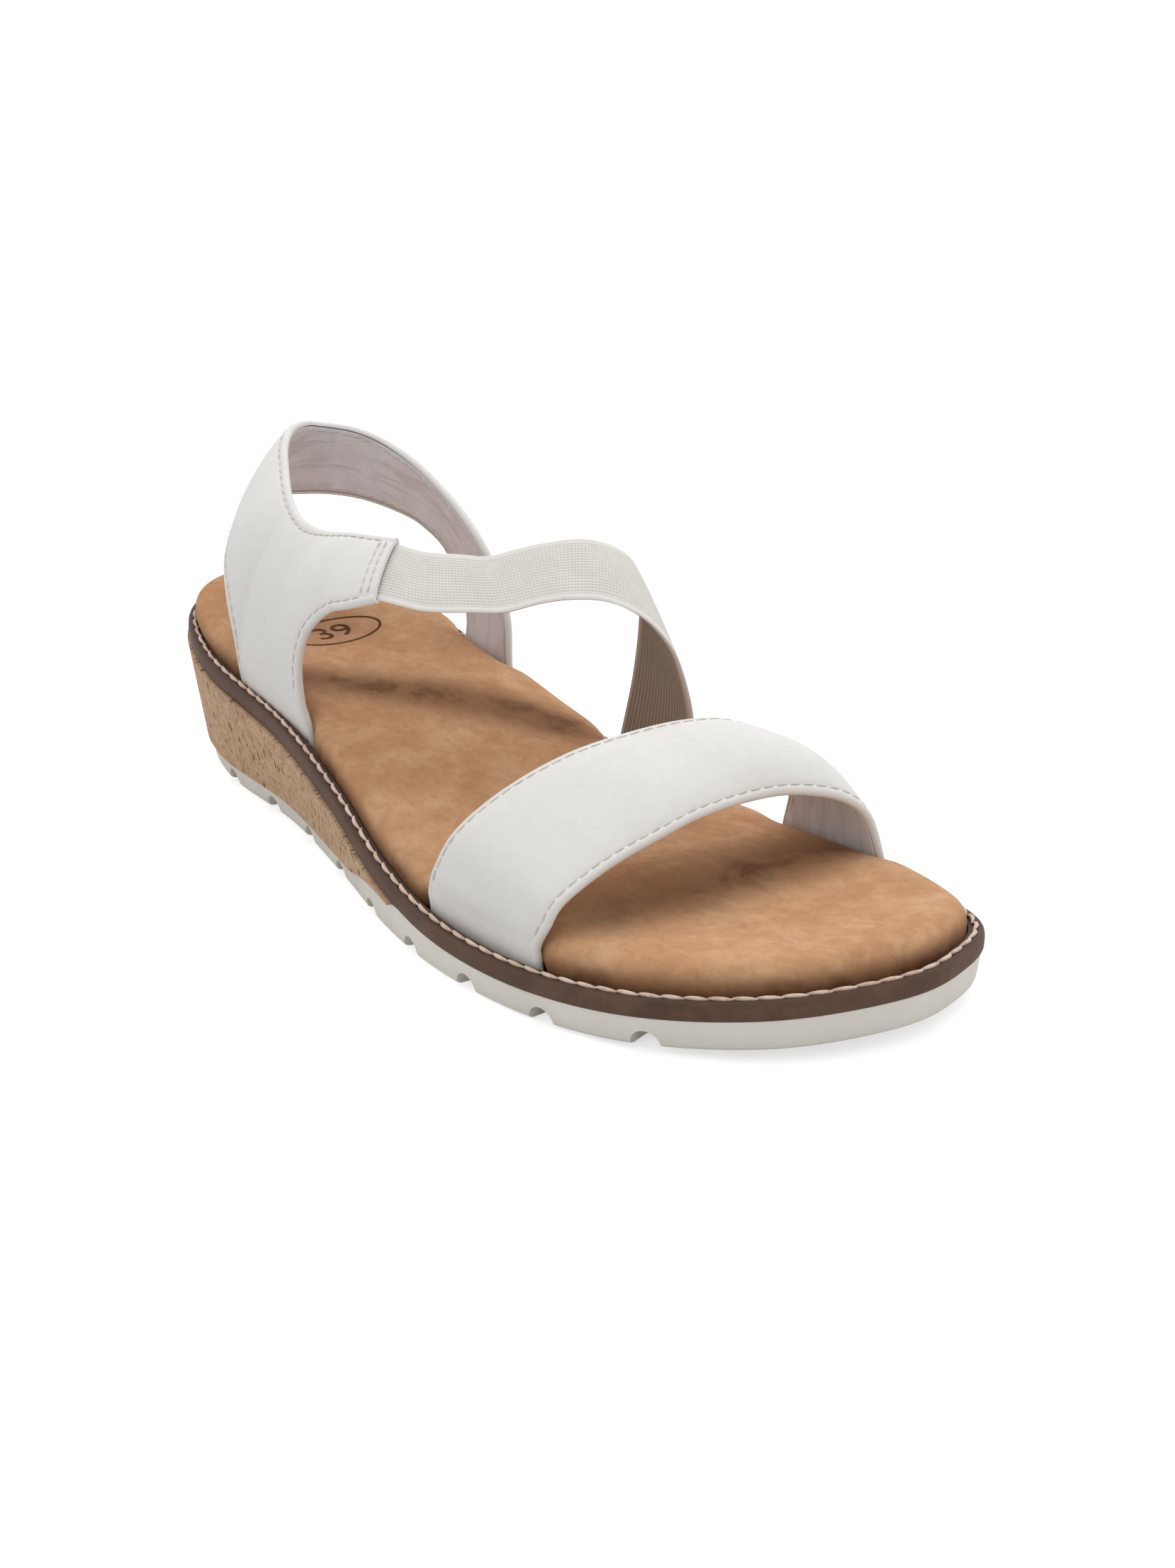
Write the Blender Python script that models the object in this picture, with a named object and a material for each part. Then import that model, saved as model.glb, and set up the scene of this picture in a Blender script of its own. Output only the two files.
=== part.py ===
"""Wedge sandal, right foot: cork wedge sole, suede footbed, leather straps and an elastic.

Sizes are in millimetres and become metres when a mesh is made. The last's own frame has X
along the foot from the back of the heel, Y towards the inner side of the foot and Z up from
the ground; PLACE moves it so that the origin is under the middle of the sandal.
"""

import math

import bmesh
import bpy
import numpy as np
from mathutils import Matrix, Vector

MM = 0.001
PLACE = np.array([-130.2, -1.4, 0.0])
GAP = 0.3

# --- Driving dimensions -----------------------------------------------------------------

# Outer edge of the welt seen from above, from the back of the heel along the outer side.
OUTLINE = [
    (0, 2), (7.5, -20.5), (35, -31), (75, -33), (110, -38), (145, -44), (175, -46),
    (205, -42.5), (230, -33), (251, -15), (260, 8), (257.5, 25), (245, 41.5), (215, 48.5),
    (185, 46.5), (150, 38), (112, 33), (75, 33), (35, 32.5), (8, 22),
]
# Height of the welt's underside along the foot: a wedge at the heel, low at the ball.
WELT_UNDERSIDE = [
    (0, 35), (30, 29.5), (60, 25.5), (90, 21.5), (115, 17), (140, 11), (165, 7.4),
    (195, 6.4), (230, 8), (260, 11),
]
# How far the tread's edge sits inside the welt's edge.
TREAD_INSET = [(0, 4), (60, 4), (110, 2.5), (165, 1), (260, 1.9)]
TOE_SPRING = 4.0
TOE_SPRING_START = 190.0
OUTSOLE_THICKNESS = 6.2
OUTSOLE_BEVEL = 1.0
CORK_THICKNESS = 1.2
WEDGE_TIP = 0.8
WELT_HEIGHT = 4.3
WELT_WIDTH = 3.2
WELT_BEVEL = 0.7
BOARD_THICKNESS = 1.5
FOOTBED_RIM = 10.8
COVER_THICKNESS = 1.0
# Where straps pass down beside the footbed its side steps in, and its lower edge up.
STRAP_RELIEF = 4.6
STRAP_RELIEF_RISE = 4.2
STRAP_RELIEF_RAMP = (9.0, 16.0)
TUCK_INSET = 13.5
BOSS_INSET = 16.0
RUNGS = 44
WEDGE_LAST_RUNG = 24

LEATHER = (0.0, 1.1)
PADDING = (1.4, 2.4)
LINING = (2.7, 3.5)

HINGE = np.array([72.0, 0.0, 31.0])
OUTER_ROOT_RADIUS = 18.2
INNER_ROOT_RADIUS = 13.0
SWING_GAP = 0.9

# Stations along each strap: rear (or upper) edge, front (or lower) edge, bulge between them.
VAMP = [
    ((165, -42.5, 21), (204.5, -39, 19.5), 1.2),
    ((168, -37.5, 30), (205, -34, 25), 2),
    ((171, -27, 37.5), (204.5, -22, 29.5), 2.5),
    ((174, -13, 43), (204, -8, 32.5), 2.5),
    ((176, 2, 45), (204, 2, 34.4), 2.5),
    ((178.5, 15, 45.5), (204.5, 14, 35), 2.8),
    ((180.5, 25, 43.5), (206, 24, 34.3), 3.5),
    ((184, 34, 37), (208.5, 35, 31), 3.8),
    ((183, 40, 27), (209, 42, 25.5), 2),
]
VAMP_OUTER_ROOT = (163.5, 200.0)
VAMP_INNER_ROOT = (178.5, 209.0)

HEEL_STRAP = [
    ((102, -10.5, 74.5), (114.5, -24.5, 65), 0.5),
    ((94, -12, 73.7), (106, -27.3, 62), 1),
    ((86, -13, 73), (97, -28.3, 58.5), 2),
    ((79, -13.3, 71.7), (89, -30, 51.5), 3),
    ((74, -13.4, 70.8), (86, -31.5, 42), 4),
    ((70, -13.2, 70.3), (89.5, -31.4, 29), 5),
    ((66, -13, 70), (77, -30.1, 30), 5),
    ((62, -12.8, 70), (65, -29.3, 31), 5),
    ((57, -12, 70.5), (54, -28.6, 32), 5),
    ((51, -10.5, 71.5), (49, -29.3, 41), 4),
    ((44, -8, 73.8), (43.5, -27.8, 50), 3),
    ((36, -4, 77), (36, -24, 56), 2.5),
    ((27, 0.5, 81), (27, -17, 60.5), 2),
    ((20, 5.5, 83), (18, -8, 63.3), 1.5),
    ((16, 11, 83), (12.5, 1, 63.7), 1),
    ((17, 16, 82), (14, 11, 63), 0.8),
    ((25, 22, 81), (20, 18, 62.6), 0.8),
    ((33, 26.5, 78.3), (28, 23.3, 61.4), 0.8),
    ((44, 28.6, 74.8), (38, 28, 59), 1),
    ((55, 29, 70.8), (47, 29, 57), 1),
    ((65, 29, 66.2), (54, 30, 53.5), 1),
    ((74, 29, 60.3), (59.5, 30.3, 47.5), 1),
    ((80.5, 29.6, 52), (62.5, 30.4, 41), 1),
    ((84, 29.8, 42), (63.7, 30, 36.5), 0.5),
    ((84.5, 29.5, 33), (64, 29.5, 33), 0),
]
OUTER_ROOT = (54.0, 89.5)
INNER_ROOT = (64.0, 84.5)

# The elastic's first two stations lie under the end of the heel strap.
ELASTIC = [
    ((108, -6.8, 71.6), (124.6, -17.6, 63.6), 0.5),
    ((115, -1, 71.3), (132, -10, 63.5), 0.5),
    ((120, 3, 71.3), (138.5, -5, 64), 0.5),
    ((125, 10.6, 73.3), (142, 3, 65.3), 0.5),
    ((129, 20, 74), (145.5, 9, 65.8), 0.5),
    ((134, 25, 73.3), (150, 15, 65), 0.8),
    ((137, 29.5, 70), (156, 20, 62), 0.8),
    ((139, 31, 65), (158.5, 24.5, 56.5), 0.8),
    ((138.5, 31.5, 56), (158.5, 28.5, 49), 0.8),
    ((135, 31.3, 41), (158, 31.8, 36), 0.6),
]
ELASTIC_ROOT = (128.0, 153.0)
ELASTIC_THICKNESS = 1.0

NOTCH_PITCH = 23.7
NOTCH_COUNT = 9
FIRST_NOTCH = 39.5
NOTCH_SIZE = (5.5, 6.0, 3.0)
GROOVE_SIZE = (2.4, 34.0, 1.4)

# Ends along the foot, half width and thickness of the steel shank.
SHANK = ((50.0, 138.0), 6.0, 1.2)
WELT_THREAD_INSET = 2.2
WELT_THREAD_RADIUS = 0.6
STITCH_RADIUS = 0.3
STITCH_INSET = 2.3
TUCK_RADIUS = 3.8
TUCK_ROWS = 6
ROOT_COLUMNS = 7
LAST_OUTER_STATION = 11
FIRST_INNER_STATION = 20
ROOT_ROWS = 5


# --- Curves and tables ------------------------------------------------------------------

def spline(points, steps, closed=False):
    """Catmull-Rom curve through the points, with a number of steps on each span."""
    knots = np.array(points, dtype=float)
    if closed:
        knots = np.vstack([knots[-1], knots, knots[:2]])
    else:
        knots = np.vstack([2 * knots[0] - knots[1], knots, 2 * knots[-1] - knots[-2]])
    curve = []
    for i in range(1, len(knots) - 2):
        a, b, c, d = knots[i - 1:i + 3]
        for t in np.arange(steps) / steps:
            curve.append(0.5 * (2 * b + (c - a) * t + (2 * a - 5 * b + 4 * c - d) * t ** 2
                                + (3 * b - a - 3 * c + d) * t ** 3))
    if not closed:
        curve.append(knots[-2])
    return np.array(curve)


def table(knots, x):
    """Value at x on a smooth curve through (x, value) knots."""
    curve = spline(knots, 12)
    return np.interp(x, curve[:, 0], curve[:, 1])


def smoothstep(x, start, end):
    t = np.clip((np.asarray(x, dtype=float) - start) / (end - start), 0, 1)
    return t * t * (3 - 2 * t)


def gauss(x, centre, width):
    return np.exp(-((x - centre) / width) ** 2)


def welt_base(x):
    return table(WELT_UNDERSIDE, x)


def tread_height(x):
    reach = np.clip(np.asarray(x, dtype=float) - TOE_SPRING_START, 0, None)
    return TOE_SPRING * (reach / (260 - TOE_SPRING_START)) ** 2


def outsole_top(x):
    """Top of the outsole: level under the wedge, up to the welt in front of it."""
    joined = smoothstep(x, 120, 148)
    level = tread_height(x) + OUTSOLE_THICKNESS
    step = (WEDGE_TIP + GAP) * (1 - smoothstep(x, 150, 158))
    return level * (1 - joined) + (welt_base(x) - GAP - step) * joined


def side_inset(x, z):
    """How far the sole's side wall sits inside the welt's edge at a height."""
    share = (z - tread_height(x)) / (welt_base(x) - tread_height(x))
    return table(TREAD_INSET, x) * (1 - share) + 0.5 * share


# --- The sole's outline as a ladder of rungs --------------------------------------------

def outline_ladder():
    """Points round the welt's edge, paired across the foot, and the way inwards at each."""
    edge = spline(OUTLINE, 30, closed=True)
    along = np.roll(edge, -1, axis=0) - np.roll(edge, 1, axis=0)
    inward = np.stack([-along[:, 1], along[:, 0]], axis=1)
    inward /= np.linalg.norm(inward, axis=1)[:, None]
    heel = int(np.argmin(edge[:, 0]))
    edge = np.roll(edge, -heel, axis=0)
    inward = np.roll(inward, -heel, axis=0)
    toe = int(np.argmax(edge[:, 0]))
    low, high = edge[0, 0], edge[toe, 0]
    stations = low + (high - low) * (1 - np.cos(np.pi * np.arange(RUNGS + 1) / RUNGS)) / 2
    halves = []
    wrapped = np.vstack([edge[toe:], edge[:1]])
    wrapped_in = np.vstack([inward[toe:], inward[:1]])
    for pts, ways in ((edge[:toe + 1], inward[:toe + 1]), (wrapped[::-1], wrapped_in[::-1])):
        columns = [np.interp(stations, pts[:, 0], v) for v in (pts[:, 1], ways[:, 0], ways[:, 1])]
        halves.append(np.stack([stations] + columns, axis=1))
    return halves


OUTER_HALF, INNER_HALF = outline_ladder()


def ring_points(inset, last_rung=RUNGS):
    """One ring, a distance inside the welt's edge, and the station of each of its points.

    It runs from the heel's tip along the outer side to the last rung and back along the
    inner side. The toe's tip is in it when the last rung is the toe.
    """
    sides = last_rung if last_rung < RUNGS else RUNGS - 1
    order = [OUTER_HALF[k] for k in range(sides + 1)]
    if last_rung == RUNGS:
        order.append(OUTER_HALF[RUNGS])
    order += [INNER_HALF[k] for k in range(sides, 0, -1)]
    order = np.array(order)
    way = order[:, 2:4] / np.linalg.norm(order[:, 2:4], axis=1)[:, None]
    return order[:, :2] + way * np.broadcast_to(inset, len(order))[:, None], order[:, 0]


def edge_y(x, side, inset):
    """Y of the sole's edge at x on a side (-1 outer, 1 inner), a distance inside it."""
    half = OUTER_HALF if side < 0 else INNER_HALF
    return np.interp(x, half[:, 0], half[:, 1]) - side * inset


# --- Making meshes ----------------------------------------------------------------------

def material(name, colour, roughness, metallic=0.0):
    made = bpy.data.materials.new(name)
    made.use_nodes = True
    shader = made.node_tree.nodes["Principled BSDF"]
    shader.inputs["Base Color"].default_value = (*colour, 1.0)
    shader.inputs["Roughness"].default_value = roughness
    shader.inputs["Metallic"].default_value = metallic
    made.diffuse_color = (*colour, 1.0)
    return made


def finish(name, shape, look, parent=None):
    """Turn a bmesh in last millimetres into a named object in metres."""
    bmesh.ops.remove_doubles(shape, verts=shape.verts, dist=0.001)
    bmesh.ops.recalc_face_normals(shape, faces=shape.faces)
    origin = Vector(parent.location) if parent else Vector()
    for vert in shape.verts:
        vert.co = (vert.co + Vector(PLACE)) * MM - origin
    mesh = bpy.data.meshes.new(name)
    shape.to_mesh(mesh)
    shape.free()
    mesh.shade_smooth()
    mesh.set_sharp_from_angle(angle=math.radians(40))
    mesh.materials.append(look)
    made = bpy.data.objects.new(name, mesh)
    bpy.context.scene.collection.objects.link(made)
    made.parent = parent
    return made


def add_verts(shape, points):
    return [shape.verts.new(tuple(map(float, p))) for p in points]


def add_cap(shape, loop, has_toe, columns, height):
    """Fill a ring with rows across it; height(x, share across) is the Z of the fill."""
    count = len(loop)
    sides = (count - 2) // 2 if has_toe else (count - 1) // 2
    shares = (1 - np.cos(np.pi * np.arange(1, columns) / columns)) / 2
    rows = []
    for k in range(1, sides + 1):
        left, right = loop[k], loop[count - k]
        row = [left]
        for share in shares:
            spot = left.co.lerp(right.co, share)
            spot.z = float(height(spot.x, share))
            row.append(shape.verts.new(spot))
        rows.append(row + [right])
    for near, far in zip(rows, rows[1:]):
        for a, b, c, d in zip(near, near[1:], far[1:], far):
            shape.faces.new([a, b, c, d])
    tips = [(loop[0], rows[0])]
    if has_toe:
        tips.append((loop[sides + 1], rows[-1]))
    for tip, row in tips:
        for a, b in zip(row, row[1:]):
            shape.faces.new([a, b, tip])


def layered_solid(name, look, rings, first_cap, last_cap, last_rung=RUNGS, columns=2):
    """Closed solid through rings of (inset, height at each station), capped at both ends."""
    shape = bmesh.new()
    loops = []
    for inset, height in rings:
        points = ring_points(inset, last_rung)[0]
        loops.append(add_verts(shape, np.column_stack([points, height(points[:, 0])])))
    for low, high in zip(loops, loops[1:]):
        for i in range(len(low)):
            j = (i + 1) % len(low)
            shape.faces.new([low[i], low[j], high[j], high[i]])
    for loop, cap in ((loops[0], first_cap), (loops[-1], last_cap)):
        add_cap(shape, loop, last_rung == RUNGS, columns, cap)
    return finish(name, shape, look)


def band_solid(name, look, section, last_rung=RUNGS):
    """Closed band round the sole: a section of (inset, height) corners carried along it."""
    shape = bmesh.new()
    loops = []
    for inset, height in section:
        points = ring_points(inset, last_rung)[0]
        loops.append(add_verts(shape, np.column_stack([points, height(points[:, 0])])))
    count = len(loops[0])
    closed = last_rung == RUNGS
    start = 0 if closed else last_rung + 1
    spans = range(count) if closed else range(start, start + count - 1)
    corners = range(len(loops))
    for i in spans:
        a, b = i % count, (i + 1) % count
        for c in corners:
            d = (c + 1) % len(loops)
            shape.faces.new([loops[c][a], loops[c][b], loops[d][b], loops[d][a]])
    if not closed:
        shape.faces.new([loops[c][last_rung] for c in corners])
        shape.faces.new([loops[c][last_rung + 1] for c in corners])
    return finish(name, shape, look)


def grid_solid(name, look, outer, inner, parent=None):
    """Closed solid between two grids of points that face each other."""
    shape = bmesh.new()
    rows, columns = outer.shape[:2]
    front = [add_verts(shape, row) for row in outer]
    back = [add_verts(shape, row) for row in inner]
    for i in range(rows - 1):
        for j in range(columns - 1):
            shape.faces.new([front[i][j], front[i + 1][j], front[i + 1][j + 1], front[i][j + 1]])
            shape.faces.new([back[i][j], back[i][j + 1], back[i + 1][j + 1], back[i + 1][j]])
    border = [(i, 0) for i in range(rows)] + [(rows - 1, j) for j in range(1, columns)]
    border += [(i, columns - 1) for i in range(rows - 2, -1, -1)]
    border += [(0, j) for j in range(columns - 2, 0, -1)]
    for (i, j), (k, m) in zip(border, border[1:] + border[:1]):
        shape.faces.new([front[i][j], front[k][m], back[k][m], back[i][j]])
    return finish(name, shape, look, parent)


def thread(name, look, points, radius, parent=None, closed=False):
    """Sewing thread: a round tube with closed ends along the points."""
    curve = bpy.data.curves.new(name, "CURVE")
    curve.dimensions = "3D"
    curve.bevel_depth = radius * MM
    curve.bevel_resolution = 0
    curve.use_fill_caps = not closed
    line = curve.splines.new("POLY")
    line.points.add(len(points) - 1)
    origin = np.array(parent.location) if parent else np.zeros(3)
    for spot, point in zip(line.points, points):
        spot.co = (*((point + PLACE) * MM - origin), 1.0)
    line.use_cyclic_u = closed
    curve.materials.append(look)
    made = bpy.data.objects.new(name, curve)
    bpy.context.scene.collection.objects.link(made)
    made.parent = parent
    return made


# --- Strap surfaces ---------------------------------------------------------------------

def strap_rows(stations, steps):
    """Rear edge, front edge, bulge and outward way at each row of a strap."""
    rear = spline([s[0] for s in stations], steps)
    front = spline([s[1] for s in stations], steps)
    bulge = spline([(s[2], 0, 0) for s in stations], steps)[:, 0]
    out = np.cross(np.gradient(rear + front, axis=0), front - rear)
    return rear, front, bulge, out / np.linalg.norm(out, axis=1)[:, None]


def across_strap(rows, share):
    """Points on a strap's outer face at a share of the way from front to rear edge."""
    rear, front, bulge, out = rows
    share = np.broadcast_to(share, len(rear))[:, None]
    return front * (1 - share) + rear * share + 4 * share * (1 - share) * bulge[:, None] * out


def strap_grid(stations, across, steps=2):
    """Grid of points on a strap's outer face: rows along it, from front to rear edge."""
    rows = strap_rows(stations, steps)
    return np.stack([across_strap(rows, v) for v in np.linspace(0, 1, across + 1)], axis=1)


def facing(grid):
    """Unit normals of a grid, away from the foot."""
    out = np.cross(np.gradient(grid, axis=0), -np.gradient(grid, axis=1))
    return out / np.linalg.norm(out, axis=2)[:, :, None]


def strap_layer(name, look, grid, depths, parent=None):
    """One layer of a strap, between two depths below its outer face."""
    out = facing(grid)
    return grid_solid(name, look, grid - out * depths[0], grid - out * depths[1], parent)


def tuck(x, side):
    """Way of a strap's edge from above the welt, down inside it and in under the footbed."""
    base = float(welt_base(x)) + BOARD_THICKNESS + GAP
    wall = WELT_WIDTH + GAP
    corner = [
        (wall + TUCK_RADIUS * (1 - math.cos(a)), base + TUCK_RADIUS * (1 - math.sin(a)))
        for a in np.radians([0, 30, 60, 90])
    ]
    way = [(wall, base + TUCK_RADIUS + 3)] + corner + [(TUCK_INSET, base)]
    return [np.array([x, edge_y(x, side, inset), z]) for inset, z in way]


def tucked_strap(stations, outer_root, inner_root):
    """A strap's stations from the inner side out, with the ends lasted under the footbed."""
    ends = zip(tuck(inner_root[0], 1), tuck(inner_root[1], 1))
    full = [(rear, front, 0) for rear, front in ends][::-1] + stations[::-1]
    if outer_root:
        ends = zip(tuck(outer_root[0], -1), tuck(outer_root[1], -1))
        full += [(rear, front, 0) for rear, front in ends]
    return full


def face_y(face, side, x, z):
    """Y of the heel strap's outer face at a place seen from the side."""
    spots = face.reshape(-1, 3)
    spots = spots[spots[:, 1] * side > 5]
    far = np.hypot(spots[:, 0] - x, spots[:, 2] - z)
    near = np.argsort(far)[:4]
    weight = 1 / (far[near] + 0.01) ** 2
    return float((spots[near, 1] * weight).sum() / weight.sum())


def root_grid(face, side, ends, radius):
    """Outer face of a fixed root: up out of the sole to an arc about the hinge."""
    columns = []
    for x in np.linspace(*ends, ROOT_COLUMNS):
        way = tuck(x, side)[1:]
        low = way[0][2]
        top = HINGE[2] + math.sqrt(max(radius ** 2 - (x - HINGE[0]) ** 2, 0))
        rise = np.linspace(0, 1, ROOT_ROWS)[:0:-1]
        upper = [(x, face_y(face, side, x, low + t * (top - low)), low + t * (top - low))
                 for t in rise]
        columns.append(upper + way)
    grid = np.array(columns)
    return grid[::-1] if side > 0 else grid


# --- The sole ---------------------------------------------------------------------------

def relief(stations, on_outer_side):
    """1 where a strap passes down beside the footbed, 0 elsewhere, per ring point."""
    near, far = STRAP_RELIEF_RAMP

    def within(x, ends):
        rising = smoothstep(x, ends[0] - far, ends[0] - near)
        return rising * (1 - smoothstep(x, ends[1] + near, ends[1] + far))

    outer = within(stations, OUTER_ROOT) + within(stations, VAMP_OUTER_ROOT)
    inner = sum(within(stations, ends) for ends in (INNER_ROOT, ELASTIC_ROOT, VAMP_INNER_ROOT))
    return np.clip(np.where(on_outer_side, outer, inner), 0, 1)


def footbed_relief():
    points, stations = ring_points(0)
    on_outer_side = np.arange(len(points)) < len(points) // 2
    return relief(stations, on_outer_side)


def footbed_height(x, share, depth=0.0):
    """Top of the footbed: a heel cup, a raised arch, a metatarsal rise and a toe ridge."""
    inside = 4 * share * (1 - share) * smoothstep(x, 4, 30) * (1 - smoothstep(x, 232, 256))
    cup = -3.5 * gauss(x, 38, 32)
    arch = 2.5 * gauss(x, 105, 30) * smoothstep(share, 0.3, 0.9)
    rise = 2.0 * gauss(x, 152, 20)
    ridge = 2.2 * gauss(x, 191, 11)
    dish = -1.2 * gauss(x, 216, 14) - 0.6 * gauss(x, 240, 14)
    return welt_base(x) + FOOTBED_RIM - depth + inside * (cup + arch + rise + ridge + dish)


def flat(height):
    """A cap whose height depends only on the station."""
    return lambda x, share: height(x)


def make_outsole(look):
    """Moulded sole with a bevelled lower edge, cut by the tread's notches and grooves."""
    stations = ring_points(0)[1]

    def lifted(rise):
        return lambda x: tread_height(x) + rise

    def side(height):
        return side_inset(stations, height(stations))

    rings = [
        (side(lifted(0)) + OUTSOLE_BEVEL, lifted(0)),
        (side(lifted(OUTSOLE_BEVEL)), lifted(OUTSOLE_BEVEL)),
        (side(outsole_top), outsole_top),
    ]
    sole = layered_solid("outsole", look, rings, flat(tread_height), flat(outsole_top))
    cutter = tread_cutter()
    cut = sole.modifiers.new("notches", "BOOLEAN")
    cut.operation = "DIFFERENCE"
    cut.object = cutter
    return sole


def tread_cutter():
    """Blocks that cut the notches along both edges and the grooves across the tread."""
    shape = bmesh.new()
    wide, deep, tall = NOTCH_SIZE
    for n in range(NOTCH_COUNT):
        x = FIRST_NOTCH + n * NOTCH_PITCH
        for side in (-1, 1):
            tread_edge = edge_y(x, side, float(table(TREAD_INSET, x)))
            slope = (edge_y(x + 2, side, 0) - edge_y(x - 2, side, 0)) / 4
            turn = Matrix.Rotation(math.atan(slope), 4, "Z")
            place = Matrix.Translation((x, tread_edge, tread_height(x)))
            size = Matrix.Diagonal((wide, 2 * deep, 2 * tall, 1))
            bmesh.ops.create_cube(shape, size=1, matrix=place @ turn @ size)
        middle = x + NOTCH_PITCH / 2
        place = Matrix.Translation((middle, 0, tread_height(middle)))
        size = Matrix.Diagonal((GROOVE_SIZE[0], GROOVE_SIZE[1], 2 * GROOVE_SIZE[2], 1))
        bmesh.ops.create_cube(shape, size=1, matrix=place @ size)
    cutter = finish("tread_cutter", shape, material("cutter", (0.5, 0.5, 0.5), 0.5))
    cutter.hide_render = True
    cutter.display_type = "WIRE"
    return cutter


def make_wedge(core_look, cork_look):
    """Foam wedge and the cork skin round it."""
    def top(x):
        return welt_base(x) - GAP

    def bottom(x):
        return np.minimum(outsole_top(x) + GAP, top(x) - WEDGE_TIP)

    def skin(z_of, depth):
        stations = ring_points(0, WEDGE_LAST_RUNG)[1]
        return side_inset(stations, z_of(stations)) + depth

    inside = CORK_THICKNESS + GAP
    core = [(skin(bottom, inside), bottom), (skin(top, inside), top)]
    wedge = layered_solid("wedge_core", core_look, core, flat(bottom), flat(top),
                          WEDGE_LAST_RUNG, columns=1)
    pocket = shank_solid("shank_pocket", material("pocket", (0.5, 0.5, 0.5), 0.5), GAP)
    pocket.hide_render = True
    pocket.display_type = "WIRE"
    cut = wedge.modifiers.new("shank pocket", "BOOLEAN")
    cut.operation = "DIFFERENCE"
    cut.object = pocket
    section = [
        (skin(bottom, 0), bottom),
        (skin(top, 0), top),
        (skin(top, CORK_THICKNESS), top),
        (skin(bottom, CORK_THICKNESS), bottom),
    ]
    band_solid("cork_wrap", cork_look, section, WEDGE_LAST_RUNG)


def shank_solid(name, look, clearance):
    """Steel strip let into the top of the wedge along the arch, or the pocket for it."""
    ends, half, thick = SHANK
    xs = np.linspace(ends[0] - clearance, ends[1] + clearance, 9)
    top = welt_base(xs) - GAP - (0.0 if clearance == 0 else -1.0)
    low = welt_base(xs) - GAP - thick - clearance
    middle = (edge_y(xs, -1, 0) + edge_y(xs, 1, 0)) / 2
    sides = [middle - half - clearance, middle + half + clearance]
    upper = np.stack([np.column_stack([xs, y, top]) for y in sides], axis=1)
    lower = np.stack([np.column_stack([xs, y, low]) for y in sides], axis=1)
    return grid_solid(name, look, upper, lower)


def make_welt(look):
    """Strip of board all round between the sole and the footbed."""
    def height(rise):
        return lambda x: welt_base(x) + rise

    section = [
        (0.0, height(0)),
        (0.0, height(WELT_HEIGHT - WELT_BEVEL)),
        (WELT_BEVEL, height(WELT_HEIGHT)),
        (WELT_WIDTH, height(WELT_HEIGHT)),
        (WELT_WIDTH, height(0)),
    ]
    band_solid("welt", look, section)


def make_board(look):
    """Insole board inside the welt, over the wedge."""
    def top(x):
        return welt_base(x) + BOARD_THICKNESS

    rings = [(WELT_WIDTH + GAP, welt_base), (WELT_WIDTH + GAP, top)]
    layered_solid("insole_board", look, rings, flat(welt_base), flat(top))


def make_footbed(cover_look, foam_look):
    """Suede cover with a turned-in edge, and the foam that it is wrapped over."""
    relieved = footbed_relief()
    side = WELT_WIDTH + 2 * GAP + STRAP_RELIEF * relieved
    turn = BOARD_THICKNESS + GAP + STRAP_RELIEF_RISE * relieved
    skin = COVER_THICKNESS

    def top(drop):
        return lambda x: welt_base(x) + FOOTBED_RIM - drop

    def edge(rise):
        return lambda x: welt_base(x) + turn + rise

    cover = [
        (side + 3.0, top(0)), (side + 0.8, top(0.9)), (side, top(2.8)), (side, edge(0)),
        (TUCK_INSET, edge(0)), (TUCK_INSET, edge(skin)), (side + skin, edge(skin)),
        (side + skin, top(3.2)), (side + skin + 0.8, top(1.9)), (side + skin + 2.4, top(skin)),
    ]
    layered_solid("footbed_cover", cover_look, cover, footbed_height,
                  lambda x, share: footbed_height(x, share, skin), columns=4)
    inner = skin + GAP
    foam = [
        (side + inner + 2.6, top(inner + 0.3)), (side + inner + 0.9, top(inner + 1.2)),
        (side + inner, top(inner + 1.8)), (side + inner, edge(inner)),
        (BOSS_INSET, edge(inner)), (BOSS_INSET, lambda x: welt_base(x) + BOARD_THICKNESS + GAP),
    ]
    layered_solid("footbed_foam", foam_look, foam,
                  lambda x, share: footbed_height(x, share, inner + 0.6),
                  flat(lambda x: welt_base(x) + BOARD_THICKNESS + GAP), columns=4)


def make_welt_thread(look):
    """Thick stitching that runs on top of the welt, all round."""
    points, stations = ring_points(WELT_THREAD_INSET)
    height = welt_base(stations) + WELT_HEIGHT + GAP + WELT_THREAD_RADIUS
    thread("welt_thread", look, np.column_stack([points, height]), WELT_THREAD_RADIUS, closed=True)


# --- The upper --------------------------------------------------------------------------

def edge_thread(name, look, stations, span, parent=None, from_rear=False, clear=None):
    """Line of stitches just inside a strap's edge, over a span of its stations."""
    steps = 2
    rows = strap_rows(stations, steps)
    width = np.linalg.norm(rows[0] - rows[1], axis=1)
    share = STITCH_INSET / width
    line = across_strap(rows, 1 - share if from_rear else share)
    line = line + rows[3] * (GAP + STITCH_RADIUS)
    line = line[span[0] * steps:span[1] * steps + 1]
    if clear:
        away = np.hypot(line[:, 0] - HINGE[0], line[:, 2] - HINGE[2])
        line = line[away > clear]
    thread(name, look, line, STITCH_RADIUS, parent)


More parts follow.
